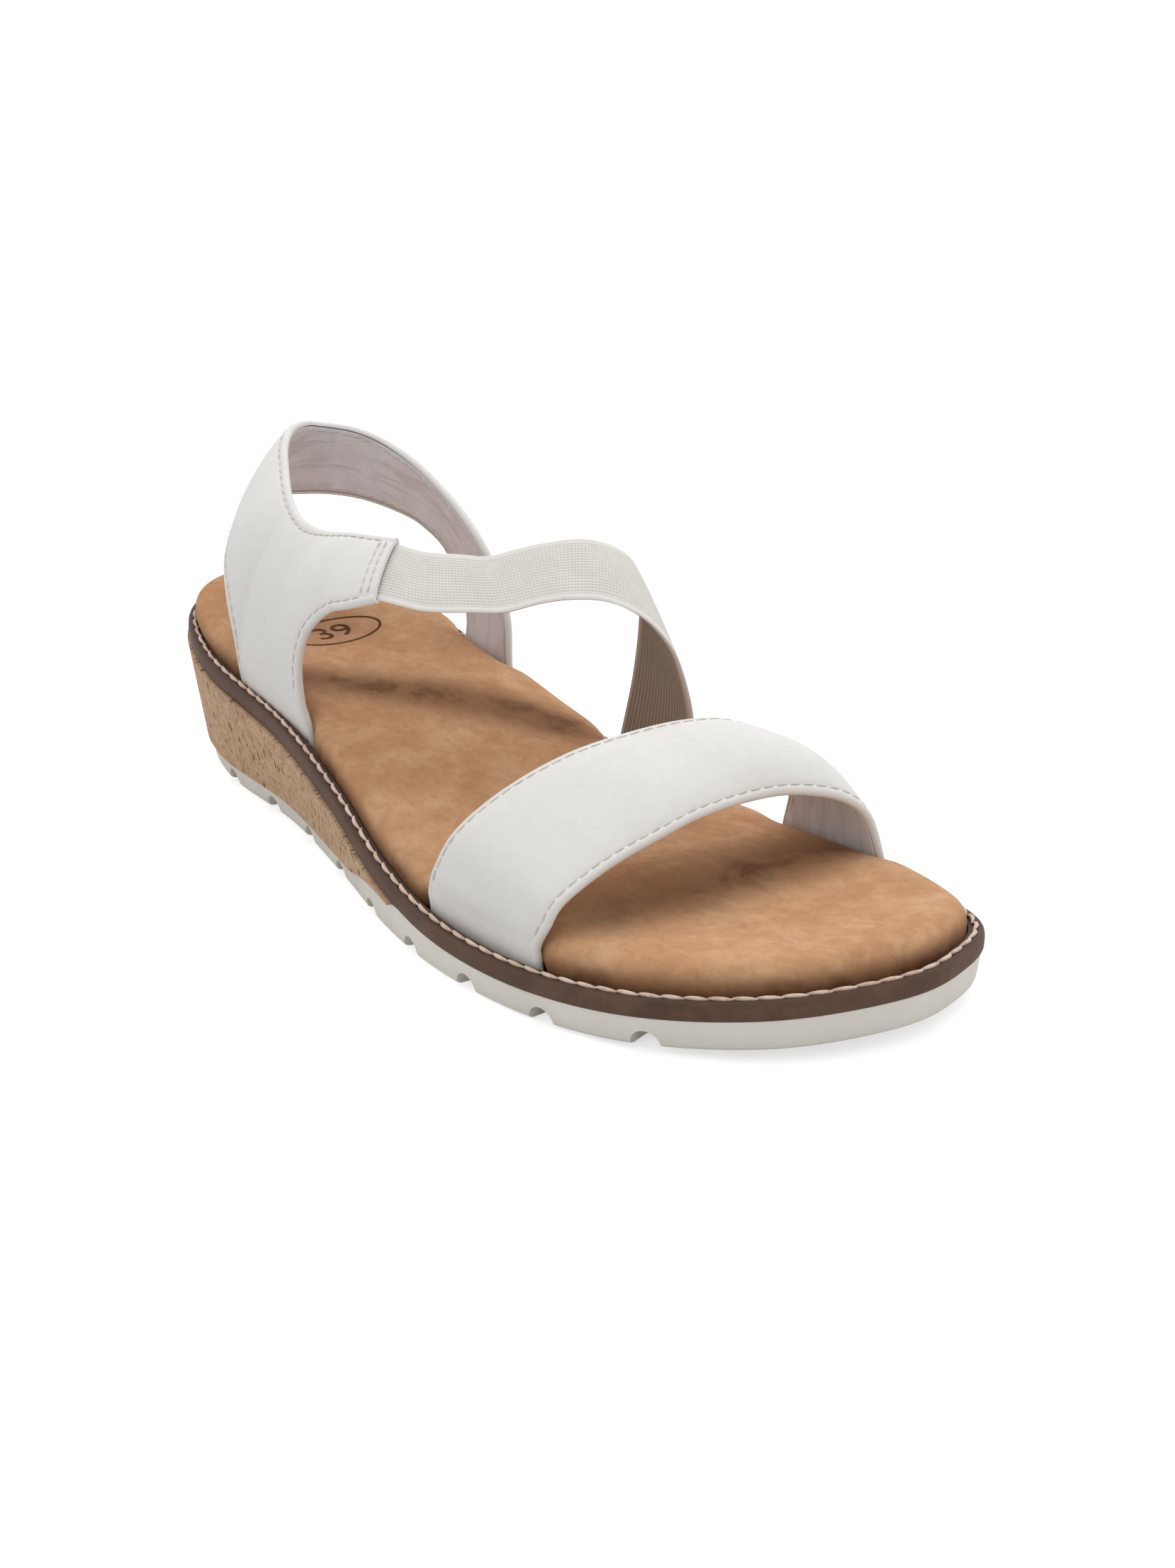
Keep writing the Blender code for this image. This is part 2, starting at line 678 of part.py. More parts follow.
def make_vamp(looks):
    """Broad strap over the toes: leather, foam and lining, with both ends in the sole."""
    stations = tucked_strap(VAMP, VAMP_OUTER_ROOT, VAMP_INNER_ROOT)
    grid = strap_grid(stations, 4)
    strap_layer("vamp_leather", looks["leather"], grid, LEATHER)
    ends = 2 * TUCK_ROWS
    strap_layer("vamp_padding", looks["foam"], grid[ends:-ends, :], PADDING)
    strap_layer("vamp_lining", looks["lining"], grid, LINING)
    last = len(stations) - TUCK_ROWS
    span = (TUCK_ROWS, last)
    edge_thread("vamp_front_thread", looks["thread"], stations, span)
    edge_thread("vamp_rear_thread", looks["thread"], stations, span, from_rear=True)


def outside_arc(line, radius, from_start):
    """The part of a line outside an arc about the hinge, as the same number of points.

    The line has its end inside the arc at its start or at its finish, or is clear of it.
    """
    steps = np.linspace(0, len(line) - 1, 241)
    fine = np.stack([np.interp(steps, np.arange(len(line)), line[:, k]) for k in range(3)], axis=1)
    outside = np.hypot(fine[:, 0] - HINGE[0], fine[:, 2] - HINGE[2]) > radius
    if outside.all():
        return line
    first = int(np.argmax(outside)) if from_start else 0
    last = len(fine) - 1 if from_start else len(fine) - 1 - int(np.argmax(outside[::-1]))
    picks = np.linspace(first, last, len(line)).round().astype(int)
    return fine[picks]


def inside_arc(face, radius):
    """A root's face with what reaches past its arc about the hinge drawn back onto it."""
    from_hinge = face[..., [0, 2]] - HINGE[[0, 2]]
    reach = np.linalg.norm(from_hinge, axis=-1, keepdims=True)
    held = face.copy()
    held[..., [0, 2]] = HINGE[[0, 2]] + from_hinge * np.minimum(1, radius / reach)
    low = face[..., 2] < HINGE[2]
    held[low] = face[low]
    return held


def heel_strap_face(grid, depth):
    """The heel strap's face at a depth, with both lower ends cut to arcs about the hinge."""
    face = grid - facing(grid) * depth
    for i in range(2 * LAST_OUTER_STATION):
        face[i] = outside_arc(face[i], OUTER_ROOT_RADIUS + SWING_GAP, True)
    start = 2 * FIRST_INNER_STATION
    for j in range(face.shape[1]):
        face[start:, j] = outside_arc(face[start:, j], INNER_ROOT_RADIUS + SWING_GAP, False)
    return face


def make_heel_strap(looks, hinge):
    """The moving heel strap with its layers, and its roots fixed in the sole."""
    grid = strap_grid(HEEL_STRAP, 4)
    for part, look, (near, far), first_row in (
        ("leather", "leather", LEATHER, 0),
        ("padding", "foam", PADDING, 4),
        ("lining", "lining", LINING, 0),
    ):
        faces = [heel_strap_face(grid, depth)[first_row:] for depth in (near, far)]
        grid_solid(f"heel_strap_{part}", looks[look], *faces, hinge)
    face = strap_grid(HEEL_STRAP, 24, 8)
    for name, side, ends, radius in (
        ("outer", -1, OUTER_ROOT, OUTER_ROOT_RADIUS),
        ("inner", 1, INNER_ROOT, INNER_ROOT_RADIUS),
    ):
        root = root_grid(face, side, ends, radius)
        for part, (near, far) in (("leather", LEATHER), ("lining", LINING)):
            faces = [inside_arc(root - facing(root) * depth, radius) for depth in (near, far)]
            grid_solid(f"{name}_root_{part}", looks[part], *faces)
    last = len(HEEL_STRAP) - 1
    stitches = looks["thread"]
    edge_thread("heel_strap_top_thread", stitches, HEEL_STRAP, (1, last), hinge,
                from_rear=True, clear=INNER_ROOT_RADIUS + 1)
    edge_thread("tab_front_thread", stitches, HEEL_STRAP, (1, 5), hinge,
                clear=OUTER_ROOT_RADIUS + 1)
    edge_thread("heel_strap_lower_thread", stitches, HEEL_STRAP, (8, last), hinge,
                clear=OUTER_ROOT_RADIUS + 1)


def make_tab_thread(look, hinge):
    """Two rows of stitches that hold the elastic under the end of the heel strap."""
    rows = strap_rows(HEEL_STRAP, 4)
    lift = rows[3] * (GAP + STITCH_RADIUS)
    columns = [across_strap(rows, v) + lift for v in np.linspace(0.16, 0.84, 6)]
    there = [column[1] for column in columns]
    back = [column[2] for column in columns[::-1]]
    thread("tab_end_thread", look, np.array(there + back), STITCH_RADIUS, hinge)


def make_elastic(look):
    """Elastic from under the heel strap's end, over the instep and down into the sole."""
    rear, front, _, out = strap_rows(HEEL_STRAP, 1)
    under = [
        (rear[i] - out[i] * PADDING[0] + (front[i] - rear[i]) * 0.06,
         front[i] - out[i] * PADDING[0] - (front[i] - rear[i]) * 0.06, HEEL_STRAP[i][2])
        for i in (1, 0)
    ]
    stations = tucked_strap(under + ELASTIC, None, ELASTIC_ROOT)
    strap_layer("elastic_strap", look, strap_grid(stations, 3), (0, ELASTIC_THICKNESS))


def main():
    """Build the sandal from the ground up."""
    for old in list(bpy.data.objects):
        bpy.data.objects.remove(old, do_unlink=True)
    looks = {
        "leather": material("strap leather", (0.76, 0.76, 0.73), 0.45),
        "lining": material("lining", (0.50, 0.46, 0.46), 0.9),
        "foam": material("padding foam", (0.75, 0.72, 0.62), 0.9),
        "thread": material("strap thread", (0.74, 0.72, 0.68), 0.7),
    }
    make_outsole(material("outsole rubber", (0.62, 0.58, 0.52), 0.6))
    make_wedge(material("wedge foam", (0.30, 0.24, 0.19), 0.9),
               material("cork", (0.49, 0.31, 0.17), 0.85))
    shank_solid("shank", material("shank steel", (0.55, 0.56, 0.58), 0.35, 1.0), 0.0)
    make_welt(material("welt", (0.12, 0.07, 0.05), 0.5))
    make_board(material("insole board", (0.55, 0.47, 0.36), 0.9))
    make_footbed(material("footbed suede", (0.52, 0.28, 0.13), 0.95),
                 material("footbed foam", (0.70, 0.62, 0.50), 0.9))
    make_welt_thread(material("welt thread", (0.75, 0.55, 0.43), 0.7))
    make_vamp(looks)
    hinge = bpy.data.objects.new("heel_strap_hinge", None)
    hinge.location = Vector((HINGE + PLACE) * MM)
    bpy.context.scene.collection.objects.link(hinge)
    make_heel_strap(looks, hinge)
    make_tab_thread(looks["thread"], hinge)
    make_elastic(material("elastic", (0.68, 0.66, 0.62), 0.85))


main()
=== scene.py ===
# %% [markdown]
# # A wedge sandal, built up like the real one
# This lesson dresses a finished CAD sandal in its visible pieces. The CAD model is the fixed
# frame: it says where every piece is and which pieces move. The order is the shoemaker's:
# sole, welt, footbed, straps, stitching. Each piece could be sculpted freely, but a shoe is
# built on a last, so one set of curves, the last's, places everything here.

# %% Load the frame
import math

import bmesh
import bpy
import numpy as np
from mathutils import Matrix, Vector


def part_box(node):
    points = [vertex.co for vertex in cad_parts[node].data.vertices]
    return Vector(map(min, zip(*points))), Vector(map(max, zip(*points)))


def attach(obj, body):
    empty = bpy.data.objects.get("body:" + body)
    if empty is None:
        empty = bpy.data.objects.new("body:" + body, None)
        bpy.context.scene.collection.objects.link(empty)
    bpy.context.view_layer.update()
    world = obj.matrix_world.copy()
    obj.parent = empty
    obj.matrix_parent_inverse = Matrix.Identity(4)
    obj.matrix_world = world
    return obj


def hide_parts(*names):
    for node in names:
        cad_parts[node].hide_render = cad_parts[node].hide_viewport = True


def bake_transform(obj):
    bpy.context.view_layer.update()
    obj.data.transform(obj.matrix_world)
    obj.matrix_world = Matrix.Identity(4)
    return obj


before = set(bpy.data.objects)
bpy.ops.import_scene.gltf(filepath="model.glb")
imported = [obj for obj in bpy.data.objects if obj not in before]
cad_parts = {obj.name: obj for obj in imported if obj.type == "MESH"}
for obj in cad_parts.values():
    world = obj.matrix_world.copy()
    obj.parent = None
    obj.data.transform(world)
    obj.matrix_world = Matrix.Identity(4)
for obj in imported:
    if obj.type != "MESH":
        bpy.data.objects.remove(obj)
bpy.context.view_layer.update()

# %% [markdown]
# ## The last's curves
# A last is the wooden foot that a shoe is made on. Its edge, seen from above, is a closed
# curve of twenty points, and the sole's heights are short tables of distance along the foot
# and height. They are in millimetres, measured from the back of the heel. Typing 240 points
# would hide the design, so a spline runs through the few that matter.

# %% Splines and tables
MM = 0.001
GAP = 0.05  # room between glued pieces
OUTLINE = [
    (0, 2), (7.5, -20.5), (35, -31), (75, -33), (110, -38), (145, -44), (175, -46),
    (205, -42.5), (230, -33), (251, -15), (260, 8), (257.5, 25), (245, 41.5), (215, 48.5),
    (185, 46.5), (150, 38), (112, 33), (75, 33), (35, 32.5), (8, 22),
]
WELT_UNDERSIDE = [
    (0, 35), (30, 29.5), (60, 25.5), (90, 21.5), (115, 17), (140, 11), (165, 7.4),
    (195, 6.4), (230, 8), (260, 11),
]
TREAD_INSET = [(0, 4), (60, 4), (110, 2.5), (165, 1), (260, 1.9)]


def spline(points, steps, closed=False):
    """Catmull-Rom curve through points, with a number of steps on each span."""
    knots = np.array(points, dtype=float)
    if closed:
        knots = np.vstack([knots[-1], knots, knots[:2]])
    else:
        knots = np.vstack([2 * knots[0] - knots[1], knots, 2 * knots[-1] - knots[-2]])
    curve = []
    for a, b, c, d in zip(knots, knots[1:], knots[2:], knots[3:]):
        for t in np.arange(steps) / steps:
            curve.append(0.5 * (2 * b + (c - a) * t + (2 * a - 5 * b + 4 * c - d) * t ** 2
                                + (3 * b - a - 3 * c + d) * t ** 3))
    if not closed:
        curve.append(knots[-2])
    return np.array(curve)


def table(knots, x):
    """Value at x on a smooth curve through (x, value) knots."""
    curve = spline(knots, 12)
    return np.interp(x, curve[:, 0], curve[:, 1])


def smoothstep(x, start, end):
    t = np.clip((np.asarray(x, dtype=float) - start) / (end - start), 0, 1)
    return t * t * (3 - 2 * t)


def gauss(x, centre, width):
    return np.exp(-((x - centre) / width) ** 2)


def distances(points):
    """How far along a polyline each of its points is."""
    steps = np.linalg.norm(np.diff(points, axis=0), axis=1)
    return np.concatenate([[0], np.cumsum(steps)])


def along_curve(points, places, values=None):
    """The polyline's points at these distances, or values that are given one to a point."""
    values = points if values is None else values
    far = distances(points)
    return np.stack([np.interp(places, far, column) for column in values.T], axis=1)


def length_of(points):
    return float(np.linalg.norm(np.diff(points, axis=0), axis=1).sum())


# %% [markdown]
# The CAD welt tells where the last stands in the model's frame: both have the same outline,
# so its box fits the curve's own box, and nothing is placed by eye.

# %% Place the last in the frame
fine_edge = spline(OUTLINE, 60, closed=True)
low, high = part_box("welt")
PLACE = np.array([
    low.x / MM - fine_edge[:, 0].min(),
    (low.y + high.y) / 2 / MM - (fine_edge[:, 1].min() + fine_edge[:, 1].max()) / 2,
    0.0,
])
print("the last stands at", PLACE.round(2), "mm")


def in_frame(points):
    """Points on the last, in millimetres, as points of the frame, in metres."""
    return (np.asarray(points, dtype=float) + PLACE) * MM


# %% [markdown]
# The outline becomes 240 points at even distances, with the inward way at each of them. Every
# ring of the sole is this edge, moved inwards and lifted, so all sole pieces share their rows
# of vertices and fit each other without gaps.

# %% The sole's edge and heights
RING = 240
fine_edge = np.roll(fine_edge, -int(np.argmin(fine_edge[:, 0])), axis=0)
fine_edge = np.vstack([fine_edge, fine_edge[:1]])
EDGE = along_curve(fine_edge, np.arange(RING) / RING * length_of(fine_edge))
ahead = np.roll(EDGE, -1, axis=0) - np.roll(EDGE, 1, axis=0)
INWARD = np.stack([-ahead[:, 1], ahead[:, 0]], axis=1)
INWARD /= np.linalg.norm(INWARD, axis=1)[:, None]
TOE = int(np.argmax(EDGE[:, 0]))
ON_OUTER_SIDE = np.arange(RING) <= TOE
print("welt edge", round(length_of(fine_edge)), "mm round, toe at point", TOE)


def welt_base(x):
    return table(WELT_UNDERSIDE, x)


def tread_height(x):
    """The tread lifts off the ground towards the toe."""
    return 4.0 * (np.clip(np.asarray(x, dtype=float) - 190, 0, None) / 70) ** 2


def outsole_top(x):
    """Level under the wedge, and up to the welt in front of it."""
    joined = smoothstep(x, 120, 148)
    step = 1.0 * (1 - smoothstep(x, 148, 156))
    return (tread_height(x) + 6.2) * (1 - joined) + (welt_base(x) - GAP - step) * joined


def side_inset(x, z):
    """How far the side wall sits inside the welt's edge at a height."""
    share = (z - tread_height(x)) / (welt_base(x) - tread_height(x))
    return table(TREAD_INSET, x) * (1 - share) + 0.5 * share


def ring(inset, height):
    """A closed ring inside the welt's edge; height is a number or a function of x."""
    flat = EDGE + INWARD * np.broadcast_to(inset, RING)[:, None]
    z = height(flat[:, 0]) if callable(height) else np.broadcast_to(height, RING)
    return np.column_stack([flat, z])


def edge_y(x, side, inset=0.0):
    """Y of the welt's edge at x on a side (-1 outer, 1 inner), a distance inside it."""
    half = EDGE[:TOE + 1] if side < 0 else np.vstack([EDGE[TOE:], EDGE[:1]])[::-1]
    return np.interp(x, half[:, 0], half[:, 1]) - side * inset


# %% [markdown]
# ## Two ways to start a piece
# Sole pieces start as a circle: its vertices are laid on the first ring, the edge loop is
# extruded, and each new loop is laid on the next ring. Straps start as a flat grid, like the
# cut blank of leather, and the grid is laid over the last. Both keep clean rows of quads,
# which bend, thicken and shade well. A voxel remesh would lose the thin edges.

# %% Selecting and modifiers
def only(*pieces):
    """Deselect everything, then select these pieces, the first one active."""
    if bpy.context.object and bpy.context.object.mode != "OBJECT":
        bpy.ops.object.mode_set(mode="OBJECT")
    bpy.ops.object.select_all(action="DESELECT")
    for piece in pieces:
        piece.select_set(True)
    bpy.context.view_layer.objects.active = pieces[0]


def apply_modifier(piece, kind, **settings):
    """Add one modifier, set it up and apply it."""
    only(piece)
    bpy.ops.object.modifier_add(type=kind)
    added = piece.modifiers[-1]
    for name, value in settings.items():
        setattr(added, name, value)
    bpy.ops.object.modifier_apply(modifier=added.name)


def shade(piece, degrees=40):
    """Smooth shading, with the edges sharper than this angle kept crisp."""
    only(piece)
    bpy.ops.object.shade_smooth_by_angle(angle=math.radians(degrees))


def tell(piece):
    """Print a piece's face count and size."""
    size = np.array(piece.dimensions) / MM
    print(f"{piece.name}: {len(piece.data.polygons)} faces, {size.round(1)} mm")


# %% [markdown]
# Each vertex keeps two numbers in layers of its own, its place in the ring and its ring. An
# extruded loop copies them, so later steps find a ring by number, not by its coordinates.

# %% Extrude a piece ring by ring
def ring_loft(name, rings):
    """A skin through rings, made by extruding one edge loop again and again."""
    bpy.ops.object.select_all(action="DESELECT")
    bpy.ops.mesh.primitive_circle_add(vertices=RING, radius=0.1)
    piece = bpy.context.object
    piece.name = piece.data.name = name
    bpy.ops.object.mode_set(mode="EDIT")
    bpy.ops.mesh.select_mode(type="VERT")
    shape = bmesh.from_edit_mesh(piece.data)
    number = shape.verts.layers.int.new("place in ring")
    shape.verts.layers.int.new("ring")
    for i, vert in enumerate(shape.verts):
        vert[number] = i
    for k, spots in enumerate(rings):
        if k:
            bpy.ops.mesh.extrude_region_move()
        shape = bmesh.from_edit_mesh(piece.data)
        number = shape.verts.layers.int["place in ring"]
        layer = shape.verts.layers.int["ring"]
        spots = in_frame(spots)
        for vert in shape.verts:
            if vert.select:
                vert.co = spots[vert[number]]
                vert[layer] = k
        bmesh.update_edit_mesh(piece.data)
    return piece


def select_rings(piece, *wanted):
    """Select the vertices of these rings, in edit mode."""
    shape = bmesh.from_edit_mesh(piece.data)
    layer = shape.verts.layers.int["ring"]
    for vert in shape.verts:
        vert.select = vert[layer] in wanted
    shape.select_flush(False)
    shape.select_flush(True)
    bmesh.update_edit_mesh(piece.data)


# %% [markdown]
# The last ring is closed by Grid Fill, which gives rows of quads that can be laid at the
# moulded height. A single face of 240 corners would shade badly and could not be curved.

# %% Fill a ring
def fill_ring(piece, wanted, span, height):
    """Fill a ring with a grid of quads, and lay the new vertices at height(x, y).

    The grid's first side is centred on the back of the heel, so its rows run to the toe."""
    select_rings(piece, wanted)
    shape = bmesh.from_edit_mesh(piece.data)
    number = shape.verts.layers.int["place in ring"]
    before = {tuple(v.co) for v in shape.verts}
    corner = next(v for v in shape.verts if v.select and v[number] == RING - span // 2)
    shape.select_history.clear()
    shape.select_history.add(corner)
    bmesh.update_edit_mesh(piece.data)
    bpy.ops.mesh.fill_grid(span=span, offset=0)
    shape = bmesh.from_edit_mesh(piece.data)
    fresh = [v for v in shape.verts if tuple(v.co) not in before]
    for vert in fresh:
        x, y = np.array(vert.co.xy) / MM - PLACE[:2]
        vert.co.z = float(height(x, y)) * MM
    bmesh.update_edit_mesh(piece.data)
    return len(fresh)


def close_up(piece):
    """Turn all faces outwards and leave edit mode."""
    bpy.ops.mesh.select_all(action="SELECT")
    bpy.ops.mesh.normals_make_consistent(inside=False)
    bpy.ops.object.mode_set(mode="OBJECT")


# %% [markdown]
# A blank keeps its flat size in its UV map, in centimetres across and along. A weave or a row
# of flecks can then follow the strip wherever it bends.

# %% Lay a flat blank over the last
def blank(name, spots, across=None, along=None):
    """A grid primitive laid on rows and columns of points, with its UV map in centimetres."""
    rows, columns = spots.shape[:2]
    bpy.ops.object.select_all(action="DESELECT")
    bpy.ops.mesh.primitive_grid_add(x_subdivisions=columns - 1, y_subdivisions=rows - 1, size=0.1)
    piece = bpy.context.object
    piece.name = piece.data.name = name
    mesh = piece.data
    mesh.vertices.foreach_set("co", in_frame(spots).astype(np.float32).ravel())
    if across is not None:
        corners = np.zeros(len(mesh.loops), dtype=np.int32)
        mesh.loops.foreach_get("vertex_index", corners)
        flat = np.stack([across.ravel(), along.ravel()], axis=1)[corners] / 10
        mesh.uv_layers.active.data.foreach_set("uv", flat.astype(np.float32).ravel())
    mesh.update()
    return piece


# %% [markdown]
# ## Outsole
# The outsole is moulded rubber: flat where it stands, lifted at the toe, with small notches
# along both edges that let it flex. It could be one extruded outline, but a moulded sole
# tapers and its lower edge is rounded, so it is a loft of rings. The notches are flared
# cylinders cut out by one Boolean, because hand cutting would break the clean side wall.

# %% Outsole body
def lifted(rise):
    return lambda x: tread_height(x) + rise


def wall(height, more=0.0):
    """Inset of the side wall at a height given as a function of x."""
    x = EDGE[:, 0]
    return side_inset(x, height(x)) + more


FILL_SPAN = 24
outsole_rings = [
    ring(wall(lifted(0), 2.2), lifted(0)),
    ring(wall(lifted(0), 1.3), lifted(0)),
    ring(wall(lifted(0), 0.6), lifted(0.15)),
    ring(wall(lifted(0.5), 0.15), lifted(0.5)),
    ring(wall(lifted(1.1)), lifted(1.1)),
    ring(wall(lifted(3.0), -0.05), lifted(3.0)),
    ring(wall(outsole_top), outsole_top),
    ring(wall(outsole_top, 2.5), outsole_top),
]
outsole = ring_loft("outsole_rubber", outsole_rings)
print("tread", fill_ring(outsole, 0, FILL_SPAN, lambda x, y: tread_height(x)))
last_ring = len(outsole_rings) - 1
print("top", fill_ring(outsole, last_ring, FILL_SPAN, lambda x, y: outsole_top(x)))
close_up(outsole)
tell(outsole)

# %% [markdown]
# A notch is cut by a cylinder on its side, widened at the outer end as on the mould, and the
# grooves between them by flat bars with round ends. The cutters are joined first, so one
# Boolean cuts them all and then they are thrown away.

# %% Notches and grooves
NOTCH_PITCH = 23.7
FIRST_NOTCH = 39.5
NOTCH_COUNT = 9
NOTCH_RADIUS = 2.7
NOTCH_LENGTH = 12.0
NOTCH_FLARE = 1.5
NOTCH_RISE = 0.15
GROOVE_RADIUS = 1.25
GROOVE_HEIGHT = 2.8
GROOVE_REACH = 16.0
GROOVE_BESIDE_NOTCH = 4.2


def notch_cutter(x, side):
    """A cylinder lying on its side, flared towards the outside of the sole."""
    only(outsole)
    bpy.ops.object.select_all(action="DESELECT")
    bpy.ops.mesh.primitive_cylinder_add(vertices=28, radius=NOTCH_RADIUS * MM,
                                        depth=NOTCH_LENGTH * MM)
    cutter = bpy.context.object
    bpy.ops.object.mode_set(mode="EDIT")
    bpy.ops.mesh.select_mode(type="FACE")
    shape = bmesh.from_edit_mesh(cutter.data)
    for face in shape.faces:
        face.select = face.normal.z > 0.9
    bmesh.update_edit_mesh(cutter.data)
    bpy.ops.transform.resize(value=(NOTCH_FLARE, NOTCH_FLARE, 1.0))
    bpy.ops.object.mode_set(mode="OBJECT")
    slope = (edge_y(x + 2, side) - edge_y(x - 2, side)) / 4
    y = edge_y(x, side, float(table(TREAD_INSET, x)) + 0.4)
    lie = Matrix.Rotation(math.radians(-90 * side), 4, "X")
    turn = Matrix.Rotation(math.atan(slope), 4, "Z")
    spot = in_frame([x, y, float(tread_height(x)) + NOTCH_RISE])
    cutter.data.transform(Matrix.Translation(spot) @ turn @ lie)
    return cutter


def groove_cutter(x):
    """A bar with rounded ends that cuts one groove across the tread."""
    bpy.ops.object.select_all(action="DESELECT")
    bpy.ops.mesh.primitive_cylinder_add(vertices=32, radius=GROOVE_RADIUS * MM,
                                        depth=GROOVE_HEIGHT * MM)
    cutter = bpy.context.object
    for vert in cutter.data.vertices:
        vert.co.y += math.copysign(GROOVE_REACH * MM, vert.co.y + 1e-9)
    middle = (edge_y(x, -1) + edge_y(x, 1)) / 2
    cutter.data.transform(Matrix.Translation(in_frame([x, middle, float(tread_height(x))])))
    return cutter


notch_places = FIRST_NOTCH + NOTCH_PITCH * np.arange(NOTCH_COUNT)
cutters = [notch_cutter(x, side) for x in notch_places for side in (-1, 1)]
cutters += [groove_cutter(x + NOTCH_PITCH / 2) for x in notch_places[:-1]]
for step in (-GROOVE_BESIDE_NOTCH, GROOVE_BESIDE_NOTCH):
    cutters += [groove_cutter(x + step) for x in notch_places]
only(*cutters)
bpy.ops.object.join()
all_cutters = bpy.context.object
apply_modifier(outsole, "BOOLEAN", operation="DIFFERENCE", object=all_cutters, solver="EXACT",
               use_self=True)
bpy.data.objects.remove(all_cutters)
shade(outsole, 35)
tell(outsole)

# %% [markdown]
# ## Cork
# A thin sheet of pressed cork is glued round the foam wedge and runs out to a point in front
# of the arch. It is a strip in real life, so here it is a blank with its UV map along the
# strip, thickened inwards. The cork pattern can then follow the wedge round the heel.

# %% Cork strip
CORK_END = 150.0
CORK_THICKNESS = 1.1
CORK_ROWS = 9


def cork_top(x):
    return welt_base(x) - GAP


def cork_bottom(x):
    return np.minimum(outsole_top(x) + GAP, cork_top(x) - 0.2)


strip = [i for i in range(TOE, RING) if EDGE[i, 0] < CORK_END]
strip += [i for i in range(TOE + 1) if EDGE[i, 0] < CORK_END]
cork_spots = []
for share in np.linspace(1, 0, CORK_ROWS):
    def height(x, share=share):
        return cork_bottom(x) * (1 - share) + cork_top(x) * share

    cork_spots.append(ring(wall(height), height)[strip])
cork_spots = np.array(cork_spots)
cork_far = np.broadcast_to(distances(cork_spots[0]), cork_spots.shape[:2])
cork = blank("cork_skin", cork_spots, cork_far, cork_spots[:, :, 2])
apply_modifier(cork, "SOLIDIFY", thickness=CORK_THICKNESS * MM, offset=-1.0)
shade(cork, 50)
tell(cork)

# %% [markdown]
# ## Welt
# The welt is a strip of brown board, four millimetres high, that goes all round between the
# sole and the footbed. Its top outer edge is bevelled and a shallow groove holds the thick
# stitching. It could be a curve with a profile, but rings follow the rising heel exactly.

# %% Welt
def over_base(rise):
    return lambda x: welt_base(x) + rise


WELT_PROFILE = [
    (3.2, 0.0), (0.7, 0.0), (0.25, 0.12), (0.04, 0.5), (-0.08, 1.6), (-0.08, 2.7),
    (0.02, 3.55), (0.25, 4.0), (0.62, 4.24), (1.0, 4.3), (1.35, 4.22), (1.6, 4.0),
    (2.2, 3.85), (2.8, 4.0), (3.05, 4.2), (3.2, 4.2),
]
welt_rings = [ring(inset, over_base(rise)) for inset, rise in WELT_PROFILE]
welt = ring_loft("welt_strip", welt_rings)
select_rings(welt, 0, len(welt_rings) - 1)
bpy.ops.mesh.bridge_edge_loops()
close_up(welt)
shade(welt, 60)
tell(welt)

# %% [markdown]
# ## Footbed
# The footbed is moulded foam wrapped in suede: a heel cup, a raised arch on the inner side,
# a low ridge behind the toes, and a soft rounded shoulder down to the welt. It is firm, so a
# cushion simulation would only blur it. The skin is lofted from under the foam, up the side
# and over the shoulder, the top is grid filled and laid at the moulded height, and the suede
# gets its real thickness inwards.

# %% Footbed heights
FOOTBED_RIM = 10.8
COVER_THICKNESS = 1.0
TOP_INSET = 6.8
SLOTS = {-1: [(54.0, 89.5), (163.5, 202.5)], 1: [(64.0, 84.5), (128.0, 153.0), (178.5, 209.0)]}


def relief():
    """1 where a strap passes down beside the footbed, and 0 elsewhere, for each ring point."""
    x = EDGE[:, 0]
    worn = np.zeros(RING)
    for side, slots in SLOTS.items():
        here = ON_OUTER_SIDE if side < 0 else ~ON_OUTER_SIDE
        for start, end in slots:
            ramp = 4 if side < 0 else 9
            held = smoothstep(x, start - ramp, start + 1)
            held = held * (1 - smoothstep(x, end - 1, end + ramp))
            worn = np.where(here, np.maximum(worn, held), worn)
    return worn


def arch_line(x, y):
    """Distance behind the slanting line where the arch support begins."""
    return -0.606 * (x - 88.6) + 0.795 * (y + 6)


def footbed_height(x, y):
    """Top of the footbed at a place seen from above.

    Each feature is a height times a bell curve: its centre along the foot and its spread."""
    outer, inner = edge_y(x, -1, TOP_INSET), edge_y(x, 1, TOP_INSET)
    share = np.clip((y - outer) / np.maximum(inner - outer, 1), 0, 1)
    inside = 4 * share * (1 - share) * smoothstep(x, 4, 30) * (1 - smoothstep(x, 232, 256))
    cup = -3.5 * gauss(x, 38, 32)
    arch = 2.5 * gauss(x, 105, 30) * smoothstep(share, 0.3, 0.9)
    support = 1.3 * smoothstep(arch_line(x, y), -9, 9) * gauss(x, 88, 30)
    rise = 2.0 * gauss(x, 152, 20)
    ridge = 2.2 * gauss(x, 191, 11)
    dish = -1.2 * gauss(x, 216, 14) - 0.6 * gauss(x, 240, 14)
    top = inside * (cup + arch + support + rise + ridge + dish)
    return welt_base(x) + FOOTBED_RIM + top


levels = [round(float(footbed_height(x, 0))) for x in (40, 105, 230)]
print("footbed at heel, arch and toes:", levels, "mm up")


# %% [markdown]
# The side is pulled in where a strap goes down beside it, and at the heel it swells out over
# the welt. Both are changes to the inset of the rings, so the rows of quads stay clean.

